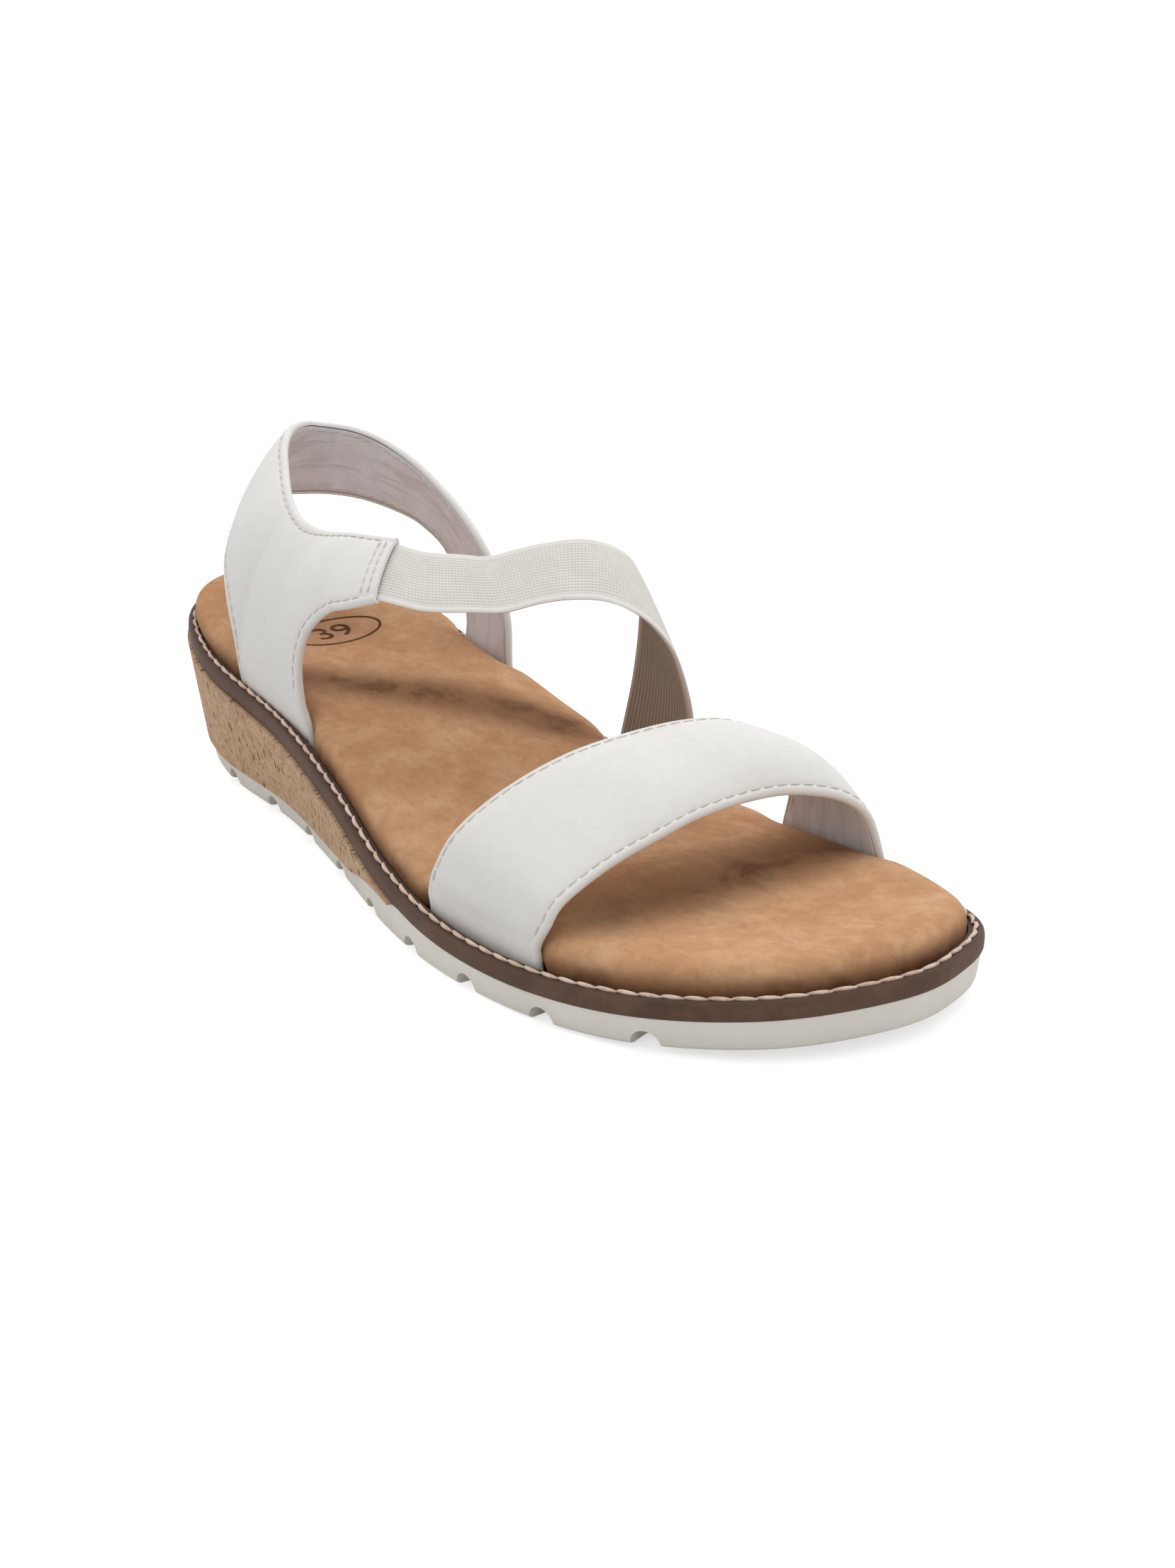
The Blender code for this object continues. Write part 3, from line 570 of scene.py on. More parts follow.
# %% Footbed skin
SIDE_INSET, SIDE_RELIEF = 3.6, 2.3
TURN_HEIGHT, TURN_RELIEF = 1.8, 4.2
HEEL_OVERHANG = 1.7
worn = relief()
footbed_side = SIDE_INSET + SIDE_RELIEF * worn
footbed_turn = TURN_HEIGHT + TURN_RELIEF * worn
heel_overhang = HEEL_OVERHANG * (1 - smoothstep(EDGE[:, 0], 22, 50))


def rim(drop):
    return lambda x: welt_base(x) + FOOTBED_RIM - drop


def turned(rise):
    return lambda x: welt_base(x) + footbed_turn + rise


def on_top(inset):
    flat = EDGE + INWARD * np.broadcast_to(inset, RING)[:, None]
    return np.column_stack([flat, footbed_height(flat[:, 0], flat[:, 1])])


footbed_rings = [
    ring(13.5, turned(0)),
    ring(footbed_side + 1.2, turned(0)),
    ring(footbed_side + 0.3, turned(0.25)),
    ring(footbed_side, turned(1.0)),
    ring(footbed_side - 0.15 - 0.7 * heel_overhang, rim(5.2)),
    ring(footbed_side - heel_overhang, rim(4.1)),
    ring(footbed_side - heel_overhang + 0.3, rim(3.0)),
    ring(footbed_side - heel_overhang + 0.9, rim(2.0)),
    ring(footbed_side - heel_overhang + 1.8, rim(1.15)),
    ring(footbed_side - 0.7 * heel_overhang + 3.0, rim(0.5)),
    on_top(footbed_side + 4.6),
    on_top(footbed_side + 6.6),
    on_top(footbed_side + 9.0),
    on_top(footbed_side * 0.4 + 13.0),
]
# The shoulder meets the moulded top halfway, so the last rim ring and the first one on top
# are eased towards each other.
footbed_rings[9][:, 2] = (footbed_rings[9][:, 2] + on_top(footbed_side + 3.0)[:, 2] - 0.5) / 2
footbed_rings[10][:, 2] -= 0.12
footbed = ring_loft("footbed_suede", footbed_rings)
print("top", fill_ring(footbed, len(footbed_rings) - 1, FILL_SPAN, footbed_height))
close_up(footbed)
apply_modifier(footbed, "SOLIDIFY", thickness=COVER_THICKNESS * MM, offset=-1.0)
apply_modifier(footbed, "SUBSURF", levels=1, render_levels=1)
shade(footbed, 80)
tell(footbed)

# %% [markdown]
# ## Size stamp
# The heel seat carries a small burnt-in stamp. A plain oval with the size in it is enough:
# the digits start as text, become a mesh, and every vertex is dropped onto the footbed. A
# painted texture would do too, but a thin sheet keeps the edge of the stamp crisp.

# %% Size stamp
STAMP_PLACE = np.array([45.0, 0.5])
STAMP_SIZE = (13.0, 8.5)
STAMP_LINE = 0.7
STAMP_THICKNESS = 0.2
STAMP_LIFT = 0.12
DIGIT_SIZE = 11.0


def stamp_digits():
    """The size number, from a text object made into a mesh."""
    bpy.ops.object.select_all(action="DESELECT")
    bpy.ops.object.text_add()
    words = bpy.context.object
    words.data.body = "39"
    words.data.align_x = words.data.align_y = "CENTER"
    words.data.size = DIGIT_SIZE * MM
    bpy.ops.object.convert(target="MESH")
    return bpy.context.object


def stamp_oval():
    """A flat ring: a filled circle, inset once, with the inside taken away."""
    bpy.ops.object.select_all(action="DESELECT")
    bpy.ops.mesh.primitive_circle_add(vertices=64, radius=1, fill_type="NGON")
    oval = bpy.context.object
    oval.data.transform(Matrix.Diagonal((STAMP_SIZE[0] * MM, STAMP_SIZE[1] * MM, 1, 1)))
    bpy.ops.object.mode_set(mode="EDIT")
    bpy.ops.mesh.select_all(action="SELECT")
    bpy.ops.mesh.inset(thickness=STAMP_LINE * MM)
    bpy.ops.mesh.delete(type="FACE")
    bpy.ops.object.mode_set(mode="OBJECT")
    return oval


only(stamp_oval(), stamp_digits())
bpy.ops.object.join()
stamp = bpy.context.object
stamp.name = stamp.data.name = "size_stamp"
bpy.ops.object.mode_set(mode="EDIT")
bpy.ops.mesh.select_all(action="SELECT")
bpy.ops.mesh.quads_convert_to_tris()
bpy.ops.mesh.subdivide(number_cuts=1)
bpy.ops.object.mode_set(mode="OBJECT")
stamp.data.transform(Matrix.Rotation(math.radians(90), 4, "Z"))
for vert in stamp.data.vertices:
    x, y = np.array(vert.co.xy) / MM + STAMP_PLACE
    vert.co = in_frame([x, y, float(footbed_height(x, y)) + STAMP_LIFT])
apply_modifier(stamp, "SOLIDIFY", thickness=STAMP_THICKNESS * MM, offset=-1.0)
tell(stamp)

# %% [markdown]
# ## Straps
# A strap of this sandal is a sandwich: soft leather outside, thin foam, and a microfibre
# lining towards the foot. The leather is folded round the foam at both edges, and a row of
# stitches runs just inside the fold. So one cross-section, from fold to fold, is carried
# along each strap, and the same stations place the foam, the lining and the thread.

# %% Strap ends and rows
def tuck(x, side):
    """Way of a strap's edge from above the welt down into the slot beside the footbed."""
    base = float(welt_base(x)) + 1.8
    return [np.array([x, edge_y(x, side, inset), base + rise])
            for inset, rise in ((3.3, 6.8), (3.4, 3.8), (3.6, 0.5))]


def with_ends(stations, outer_slot, inner_slot):
    """A strap's stations from the inner side to the outer one, with the ends in the slots."""
    def tucked(slot, side):
        return [(rear, front, 0) for rear, front in zip(tuck(slot[0], side), tuck(slot[1], side))]

    full = tucked(inner_slot, 1)[::-1] + stations[::-1]
    return full + tucked(outer_slot, -1) if outer_slot else full


def evened(values, times):
    """Values along the rows, averaged with their neighbours a number of times."""
    values = values.copy()
    for _ in range(times):
        values[1:-1] = (values[:-2] + 2 * values[1:-1] + values[2:]) / 4
    return values


def strap_rows(stations, steps):
    """Rear edge, front edge, bulge and outward way at each row of a strap."""
    rear = spline([s[0] for s in stations], steps)
    front = spline([s[1] for s in stations], steps)
    bulge = spline([(s[2], 0, 0) for s in stations], steps)[:, 0]
    out = np.cross(np.gradient(rear + front, axis=0), front - rear)
    out = evened(out / np.linalg.norm(out, axis=1)[:, None], 8 * steps)
    return rear, front, bulge, out / np.linalg.norm(out, axis=1)[:, None]


def strap_point(rows, share):
    """The strap's outer face at a share of the way from its front to its rear edge."""
    rear, front, bulge, out = rows
    share = np.broadcast_to(share, len(rear))[:, None]
    return front * (1 - share) + rear * share + 4 * share * (1 - share) * bulge[:, None] * out


def strap_facing(rows, share):
    """Unit way out of the strap's face, away from the foot."""
    share = np.broadcast_to(share, len(rows[0]))
    across = strap_point(rows, share + 0.01) - strap_point(rows, share - 0.01)
    along = np.gradient(strap_point(rows, share), axis=0)
    out = np.cross(along, -across)
    return out / np.linalg.norm(out, axis=1)[:, None]


def strap_width(rows):
    return np.linalg.norm(rows[0] - rows[1], axis=1)


def slant(rows, from_rear):
    """Sine of the angle at which the rows meet an edge; insets are divided by it."""
    edge = np.gradient(rows[0] if from_rear else rows[1], axis=0)
    across = rows[0] - rows[1]
    size = np.linalg.norm(edge, axis=1) * np.linalg.norm(across, axis=1)
    sine = np.clip(np.linalg.norm(np.cross(edge, across), axis=1) / size, 0.4, 1)
    return evened(sine, 8)


# %% [markdown]
# A section is a list of (distance from the edge, depth under the face). It is used from the
# front edge, mirrored for the rear edge, and joined by columns across the middle.

# %% Carry a section along a strap
def lay_section(rows, edge_section, middle, middle_depth):
    """Rows and columns of points, and the distance from the front edge at each of them."""
    width = strap_width(rows)
    front, rear = (1 / (slant(rows, from_rear) * width) for from_rear in (False, True))
    first, last = front * edge_section[-1][0], 1 - rear * edge_section[-1][0]
    columns = [(inset * front, depth) for inset, depth in edge_section]
    columns += [(first + (last - first) * k / middle, middle_depth) for k in range(1, middle)]
    columns += [(1 - inset * rear, depth) for inset, depth in edge_section[::-1]]
    spots = [strap_point(rows, share) - strap_facing(rows, share) * depth
             for share, depth in columns]
    across = [share * width for share, _ in columns]
    return np.stack(spots, axis=1), np.stack(across, axis=1)


def run_along(rows):
    """Distance of each row from the strap's first end, along its middle."""
    return distances(strap_point(rows, 0.5))


FOLD = 1.05
FOLD_TURNS = np.radians([-72, -48, -24, 0, 24, 48, 72])
LEATHER_SECTION = [(FOLD - FOLD * math.cos(a), FOLD - FOLD * math.sin(a)) for a in FOLD_TURNS]
LEATHER_SECTION += [
    (1.1, 0.0), (1.4, 0.02), (1.65, 0.12), (1.85, 0.18), (2.05, 0.12), (2.3, 0.02),
    (3.0, -0.08), (4.4, -0.18), (6.2, -0.24),
]
LINING_SECTION = [(1.15, 1.75), (1.1, 2.05), (1.3, 2.3), (1.9, 2.25), (2.6, 2.34), (4.0, 2.38)]
FOAM_SECTION = [(2.4, 1.15), (4.2, 0.9)]
# Depth of each layer's face in the middle of the strap, and its thickness.
LEATHER_DEPTH, LEATHER_THICKNESS = -0.26, 0.8
LINING_DEPTH, LINING_THICKNESS = 2.4, 0.45
FOAM_DEPTH, FOAM_THICKNESS = 0.8, 0.9


def strap_leather(name, rows, middle):
    spots, across = lay_section(rows, LEATHER_SECTION, middle, LEATHER_DEPTH)
    far = np.broadcast_to(run_along(rows)[:, None], spots.shape[:2])
    piece = blank(name, spots, across, far)
    apply_modifier(piece, "SOLIDIFY", thickness=LEATHER_THICKNESS * MM, offset=-1.0)
    shade(piece, 60)
    return piece


def strap_lining(name, rows, middle):
    """The lining faces the foot, so its columns run the other way and it is thickened back."""
    spots, across = lay_section(rows, LINING_SECTION, middle, LINING_DEPTH)
    far = np.broadcast_to(run_along(rows)[:, None], spots.shape[:2])
    piece = blank(name, spots[:, ::-1], across[:, ::-1], far)
    apply_modifier(piece, "SOLIDIFY", thickness=LINING_THICKNESS * MM, offset=-1.0)
    shade(piece, 60)
    return piece


def strap_foam(name, rows, middle=8):
    spots, across = lay_section(rows, FOAM_SECTION, middle, FOAM_DEPTH)
    piece = blank(name, spots)
    apply_modifier(piece, "SOLIDIFY", thickness=FOAM_THICKNESS * MM, offset=-1.0)
    shade(piece, 60)
    return piece


# %% [markdown]
# The vamp strap crosses the foot behind the toes. Its shape is a list of stations from the
# outer side to the inner one. Each gives the rear edge, the front edge and the bulge between
# them, so the strap can be wider and rounder over the joint of the big toe.

# %% Vamp strap
VAMP = with_ends([
    ((164.7, -41.4, 21.5), (204.6, -38.2, 20), 1.6),
    ((168, -37.5, 30), (205, -34, 25), 2),
    ((171, -27, 37.5), (204.5, -22, 29.5), 2.5),
    ((174, -13, 43), (204, -8, 32.5), 2.5),
    ((176, 2, 45), (204, 2, 34.4), 2.5),
    ((178.5, 15, 45.5), (204.5, 14, 35), 2.8),
    ((180.5, 25, 43.5), (206, 24, 34.3), 3.5),
    ((184, 34, 37), (208.5, 35, 31), 3.8),
    ((183, 40, 27), (209, 42, 25.5), 2),
], SLOTS[-1][1], SLOTS[1][2])
vamp_rows = strap_rows(VAMP, 8)
vamp_leather = strap_leather("vamp_strap_leather", vamp_rows, 22)
vamp_lining = strap_lining("vamp_strap_lining", vamp_rows, 22)
# The foam stops above the slots, where the leather and lining are pressed flat.
vamp_foam = strap_foam("vamp_strap_foam", [part[16:-16] for part in vamp_rows])
for piece in (vamp_leather, vamp_lining, vamp_foam):
    tell(piece)

# %% [markdown]
# The heel strap starts as a tab for the elastic, widens into a leg that goes down to the
# sole, and runs round the heel to the inner side. It is cut in one piece of leather, so one
# run of stations makes it too: here each gives the upper edge, the lower edge and the bulge.

# %% Heel strap
HEEL_STRAP = [
    ((102, -10.5, 74.5), (114.5, -24.5, 65), 0.5),
    ((94, -12, 73.7), (106, -27.3, 62), 1),
    ((85.5, -13, 72.8), (97, -28.3, 58.5), 2),
    ((77, -13.4, 71.3), (89.3, -30, 51.5), 3),
    ((70, -13.3, 70.3), (86.6, -31.3, 42), 4.2),
    ((64, -13, 70), (87, -31, 32), 6),
    ((59.5, -12.5, 70.1), (89.6, -29.9, 23), 7.2),
    ((56.5, -12, 70.5), (78, -29.7, 24.8), 6.4),
    ((53.5, -11.3, 71), (65, -29.5, 26.9), 6),
    ((50.5, -10.4, 71.6), (53, -29.2, 28.2), 6.2),
    ((46.5, -9, 72.8), (49, -29.3, 41), 4.5),
    ((41.5, -6.7, 74.8), (43.5, -27.8, 50), 3.2),
    ((35, -3.6, 77.5), (36, -24, 56), 2.5),
    ((27, 0.5, 81), (27, -17, 60.5), 2),
    ((20, 5.5, 83), (18, -8, 63.3), 1.5),
    ((16, 11, 83), (12.5, 1, 63.7), 1),
    ((17, 16, 82), (14, 11, 63), 0.8),
    ((25, 22, 81), (20, 18, 62.6), 0.8),
    ((33, 26.5, 78.3), (28, 23.3, 61.4), 0.8),
    ((44, 28.6, 74.8), (38, 28, 59), 1),
    ((55, 29, 70.8), (47, 29, 57), 1),
    ((65, 29, 66.2), (54, 30, 53.5), 1),
    ((74, 29, 60.3), (59.5, 30.3, 47.5), 1),
    ((80.5, 29.6, 52), (62.5, 30.4, 41), 1),
    ((84, 29.8, 42), (63.7, 30, 36.5), 0.5),
    ((84.5, 29.4, 33), (64, 29.4, 33), 0),
    ((84.5, 29.2, 24.6), (64, 29.2, 27.2), 0),
]
heel_rows = strap_rows(HEEL_STRAP, 8)
heel_leather = strap_leather("heel_strap_skin", heel_rows, 16)
heel_lining = strap_lining("heel_strap_inside", heel_rows, 16)
heel_foam = strap_foam("heel_strap_foam", [part[16:-10] for part in heel_rows])
for piece in (heel_leather, heel_lining, heel_foam):
    tell(piece)

# %% [markdown]
# ## Elastic
# The elastic is a woven band. Rubber threads run along it and show as fine ribs, and the
# edges are woven tighter. The ribs are real waves in the blank, because they catch the light
# along the band's edges. The finer cross weave is left to the material.

# %% Stations of the elastic
ELASTIC = [
    ((108, -6.8, 71.6), (124.6, -17.6, 63.6), 0.5),
    ((115, -1, 71.3), (132, -10, 63.5), 0.5),
    ((120, 3, 71.3), (138.5, -5, 64), 0.5),
    ((125, 10.6, 73.3), (142, 3, 65.3), 0.5),
    ((129, 20, 74), (145.5, 9, 65.8), 0.5),
    ((134, 25, 73.3), (150, 15, 65), 0.8),
    ((137, 29.5, 70), (156, 20, 62), 0.8),
    ((139, 31, 65), (158.5, 24.5, 56.5), 0.8),
    ((138.5, 31.5, 56), (158.5, 28.5, 49), 0.8),
    ((135, 31.3, 41), (158, 31.8, 36), 0.6),
]
print("the elastic crosses the foot at", len(ELASTIC), "stations")

# %% Elastic band
RIBS = 22
RIB_DEPTH = 0.12
SELVEDGE = 1.7
ELASTIC_THICKNESS = 1.0
UNDER_LEATHER = 1.35


def elastic_depth(share, width):
    """Depth of the woven face: ribs in the middle, a plain cord along each edge."""
    from_edge = np.minimum(share, 1 - share) * width
    ribs = RIB_DEPTH * np.sin(math.pi * RIBS * share) ** 2
    held = smoothstep(from_edge, SELVEDGE - 0.3, SELVEDGE)
    cord = 0.1 * gauss(from_edge, SELVEDGE - 0.35, 0.22)
    cord = cord + 0.25 * (1 - smoothstep(from_edge, 0, 0.4))
    return ribs * held + cord


def under_tab(i, inwards):
    """Station of the elastic's end, sewn under the leather of the tab."""
    rear, front, bulge, out = (part[i] for part in strap_rows(HEEL_STRAP, 1))
    across = (front - rear) * inwards
    under = out * UNDER_LEATHER
    return rear - under + across, front - under - across, bulge


elastic_stations = [under_tab(1, 0.09), under_tab(0, 0.06)] + ELASTIC
elastic_stations = with_ends(elastic_stations, None, SLOTS[1][1])
elastic_rows = strap_rows(elastic_stations, 14)
elastic_width = strap_width(elastic_rows)
ELASTIC_SHARES = np.linspace(0, 1, RIBS * 4 + 1)


def elastic_point(share):
    depth = elastic_depth(share, elastic_width)[:, None]
    return strap_point(elastic_rows, share) - strap_facing(elastic_rows, share) * depth


def mark(piece, name, values):
    """Store one value per vertex, for the material to read."""
    made = piece.data.attributes.new(name, "FLOAT", "POINT")
    made.data.foreach_set("value", np.asarray(values, dtype=np.float32).ravel())


elastic_spots = np.stack([elastic_point(share) for share in ELASTIC_SHARES], axis=1)
elastic_across = np.outer(elastic_width, ELASTIC_SHARES)
elastic = blank("elastic_band", elastic_spots, elastic_across,
                np.broadcast_to(run_along(elastic_rows)[:, None], elastic_spots.shape[:2]))
from_edge = np.minimum(elastic_across, elastic_width[:, None] - elastic_across)
mark(elastic, "rib_valley", np.sin(math.pi * RIBS * ELASTIC_SHARES) ** 2
     * smoothstep(from_edge, SELVEDGE - 0.3, SELVEDGE))
apply_modifier(elastic, "SOLIDIFY", thickness=ELASTIC_THICKNESS * MM, offset=-1.0)
on_back = np.arange(len(elastic.data.vertices)) >= elastic_across.size
mark(elastic, "inner_side", on_back)
shade(elastic, 60)
tell(elastic)

# %% [markdown]
# ## Stitches
# Every visible stitch is a short thread that dives into the leather at both ends. One stitch
# is modelled from a stretched sphere, and its copies are laid along the seam and joined. A
# dashed texture would be lighter, but it gives no shadow in the holes.

# %% One stitch, and a row of them
def one_stitch(length, width, height, arch, segments=8, rings=6):
    """A thread between two holes, arched along its length, as a mesh of its own."""
    bpy.ops.object.select_all(action="DESELECT")
    bpy.ops.mesh.primitive_uv_sphere_add(segments=segments, ring_count=rings, radius=0.5)
    stitch = bpy.context.object
    lie = Matrix.Rotation(math.radians(90), 4, "Y")
    stitch.data.transform(Matrix.Diagonal((length * MM, width * MM, height * MM, 1)) @ lie)
    for vert in stitch.data.vertices:
        bend = 1 - (2 * vert.co.x / (length * MM)) ** 2
        vert.co.y += arch[0] * MM * bend
        vert.co.z += arch[1] * MM * bend
    return stitch


def stitch_row(name, stitch, path, out, pitch, skew=0.0):
    """Copies of a stitch at an even pitch along a path, standing on its outward way."""
    total = length_of(path)
    count = max(1, int(round(total / pitch)))
    middles = (np.arange(count) + 0.5) * total / count
    spots, ahead, back = (along_curve(path, middles + shift) for shift in (0, 0.2, -0.2))
    ups = along_curve(path, middles, out)
    copies = []
    for spot, way, up in zip(in_frame(spots), ahead - back, ups):
        x = Vector(way).normalized()
        z = Vector(up)
        z = (z - x * x.dot(z)).normalized()
        y = z.cross(x)
        turn = Matrix((x, y, z)).transposed().to_4x4()
        lean = Matrix.Rotation(math.radians(skew), 4, "Z")
        copy = stitch.copy()
        copy.data = stitch.data.copy()
        copy.data.transform(Matrix.Translation(spot) @ turn @ lean)
        bpy.context.scene.collection.objects.link(copy)
        copies.append(copy)
    only(*copies)
    bpy.ops.object.join()
    row = bpy.context.object
    row.name = row.data.name = name
    shade(row, 80)
    return row


def seam(rows, from_rear, inset, depth, start, end):
    """Path of a seam on a strap and the way out of it."""
    share = inset / (strap_width(rows) * slant(rows, from_rear))
    share = 1 - share if from_rear else share
    out = strap_facing(rows, share)
    path = strap_point(rows, share) - out * depth
    return path[start:end], out[start:end]


# %% [markdown]
# The edge seams run just inside the folded edge. The same thread comes out on the lining, so
# each seam is a row of stitches outside and a row inside, joined into one piece.

# %% Edge stitching of the straps
fine_stitch = one_stitch(2.5, 0.48, 0.4, (0.0, 0.05))
STITCH_PITCH = 3.15
STITCH_LEAN = 4
OUTSIDE_SEAM = (1.85, 0.08)  # inset from the edge, depth under the strap's face
INSIDE_SEAM = (1.9, 2.28)


def edge_stitches(name, rows, from_rear, start, end):
    """Stitches on the leather and, under them, the same thread on the lining."""
    path, out = seam(rows, from_rear, *OUTSIDE_SEAM, start, end)
    outside = stitch_row(name, fine_stitch, path, out, STITCH_PITCH, STITCH_LEAN)
    path, out = seam(rows, from_rear, *INSIDE_SEAM, start, end)
    inside = stitch_row(name + "_inside", fine_stitch, path, -out, STITCH_PITCH, STITCH_LEAN)
    only(outside, inside)
    bpy.ops.object.join()
    return bpy.context.object


# A seam starts and stops some rows from the strap's ends, which are hidden in the slots.
vamp_front = edge_stitches("vamp_front_stitches", vamp_rows, False, 20, -20)
vamp_rear = edge_stitches("vamp_rear_stitches", vamp_rows, True, 20, -20)
heel_upper = edge_stitches("heel_strap_upper_stitches", heel_rows, True, 4, -10)
tab_front = edge_stitches("tab_front_stitches", heel_rows, False, 4, 39)
heel_lower = edge_stitches("heel_strap_lower_stitches", heel_rows, False, 66, -10)
for piece in (vamp_front, vamp_rear, heel_upper, tab_front, heel_lower):
    tell(piece)

# %% [markdown]
# Two short rows across the tab sew the elastic in between leather and lining. They follow
# rows of the strap's own grid, so they stay square to its edges.

# %% Two rows that hold the elastic
TAB_ROWS = (2, 4)


def tab_row(row):
    """A seam across the tab on one row of the strap, and the way out of it."""
    shares = np.linspace(0.11, 0.89, 12)
    path = np.array([strap_point(heel_rows, s)[row] for s in shares])
    out = np.array([strap_facing(heel_rows, s)[row] for s in shares])
    return path + out * 0.28, out


tab_end_rows = [stitch_row("tab_end_stitches", fine_stitch, *tab_row(row), STITCH_PITCH * 0.9)
                for row in TAB_ROWS]
only(*tab_end_rows)
bpy.ops.object.join()
tab_end = bpy.context.object
tell(tab_end)

# %% [markdown]
# The welt is sewn with a thick waxed thread. Its stitches lie slanting in the groove, each
# one's end under the next one's start, so this stitch is longer than its pitch and leans.

# %% Thick stitching of the welt
WELT_STITCH_PITCH = 4.85
WELT_STITCH_LEAN = -5
thick_stitch = one_stitch(5.6, 0.95, 0.95, (-0.75, 0.45), 10, 10)
welt_path = ring(2.35, over_base(4.15))
welt_path = np.vstack([welt_path, welt_path[:1]])
welt_out = np.tile([0.0, 0.0, 1.0], (len(welt_path), 1))
welt_stitches = stitch_row("welt_stitches", thick_stitch, welt_path, welt_out,
                           WELT_STITCH_PITCH, WELT_STITCH_LEAN)
tell(welt_stitches)
for stitch in (fine_stitch, thick_stitch):
    bpy.data.objects.remove(stitch)

# %% [markdown]
# ## Materials
# Each finish is a Principled shader fed by a few procedural textures on Object coordinates,
# so the pattern has its real size in metres. Effects that several finishes share are node
# groups: mottling, a fine nap or grain, and stretched flecks.

# %% Node helpers
def add_node(tree, kind, inputs=None, **settings):
    """A node with its settings, and its inputs linked or set to a value."""
    made = tree.nodes.new(kind)
    for name, value in settings.items():
        setattr(made, name, value)
    for name, value in (inputs or {}).items():
        if isinstance(value, bpy.types.NodeSocket):
            tree.links.new(value, made.inputs[name])
        else:
            made.inputs[name].default_value = value
    return made


def start_group(name, inputs, outputs):
    """A node group with named sockets: its tree, its given values and its results."""
    tree = bpy.data.node_groups.new(name, "ShaderNodeTree")
    for label, kind, value in inputs:
        made = tree.interface.new_socket(label, in_out="INPUT", socket_type=kind)
        if value is not None:
            made.default_value = value
    for label in outputs:
        tree.interface.new_socket(label, in_out="OUTPUT", socket_type="NodeSocketFloat")
    given = tree.nodes.new("NodeGroupInput").outputs
    return tree, given, tree.nodes.new("NodeGroupOutput").inputs


FLOAT = "NodeSocketFloat"
VECTOR = "NodeSocketVector"

# %% [markdown]
# Four effects are shared. Mottling is slow cloudy noise. Nap is short brushed fibres. Grain is
# small pebbles. Flecks are separate spots that can be drawn out one way. Each finish sets its
# own scale, so a group is built once and looks different on cork and on thread.

# %% Shared effects
def mottle_group():
    """Soft cloudy variation between 0 and 1."""
    tree, given, result = start_group(
        "Mottle",
        [("Vector", VECTOR, None), ("Scale", FLOAT, 60.0), ("Low", FLOAT, 0.35),
         ("High", FLOAT, 0.65)],
        ["Value"])
    noise = add_node(tree, "ShaderNodeTexNoise", {
        "Vector": given["Vector"], "Scale": given["Scale"], "Detail": 5.0, "Roughness": 0.6,
        "Distortion": 0.4})
    spread = add_node(tree, "ShaderNodeMapRange", {
        "Value": noise.outputs[0], "From Min": given["Low"], "From Max": given["High"]},
        interpolation_type="SMOOTHSTEP")
    tree.links.new(spread.outputs[0], result["Value"])
    return tree


def nap_group():
    """Short fibres brushed along the piece: a stretched noise crossed with a finer one."""
    tree, given, result = start_group(
        "Nap",
        [("Vector", VECTOR, None), ("Scale", FLOAT, 900.0), ("Stretch", FLOAT, 0.35)],
        ["Height", "Shade"])
    stretch = add_node(tree, "ShaderNodeCombineXYZ", {"X": given["Stretch"], "Y": 1.0, "Z": 1.0})
    drawn = add_node(tree, "ShaderNodeVectorMath", {0: given["Vector"], 1: stretch.outputs[0]},
                     operation="MULTIPLY")
    fibres = add_node(tree, "ShaderNodeTexNoise", {
        "Vector": drawn.outputs[0], "Scale": given["Scale"], "Detail": 3.0, "Distortion": 1.2})
    tufts = add_node(tree, "ShaderNodeMath", {0: given["Scale"], 1: 0.23}, operation="MULTIPLY")
    clumps = add_node(tree, "ShaderNodeTexNoise", {
        "Vector": drawn.outputs[0], "Scale": tufts.outputs[0], "Detail": 4.0, "Distortion": 0.8})
    both = add_node(tree, "ShaderNodeMath", {
        0: fibres.outputs[0], 1: clumps.outputs[0]}, operation="MULTIPLY_ADD")
    tree.links.new(clumps.outputs[0], both.inputs[2])
    tree.links.new(both.outputs[0], result["Height"])
    shade_range = add_node(tree, "ShaderNodeMapRange", {
        "Value": both.outputs[0], "From Min": 0.45, "From Max": 1.05})
    tree.links.new(shade_range.outputs[0], result["Shade"])
    return tree


def grain_group():
    """Fine grain: small soft pebbles roughened by a finer noise."""
    tree, given, result = start_group(
        "Grain", [("Vector", VECTOR, None), ("Scale", FLOAT, 900.0)], ["Height"])
    cells = add_node(tree, "ShaderNodeTexVoronoi", {
        "Vector": given["Vector"], "Scale": given["Scale"], "Randomness": 1.0},
        feature="SMOOTH_F1")
    fine = add_node(tree, "ShaderNodeTexNoise", {
        "Vector": given["Vector"], "Scale": given["Scale"], "Detail": 4.0})
    mixed = add_node(tree, "ShaderNodeMath", {0: cells.outputs["Distance"], 1: fine.outputs[0]},
                     operation="ADD")
    tree.links.new(mixed.outputs[0], result["Height"])
    return tree


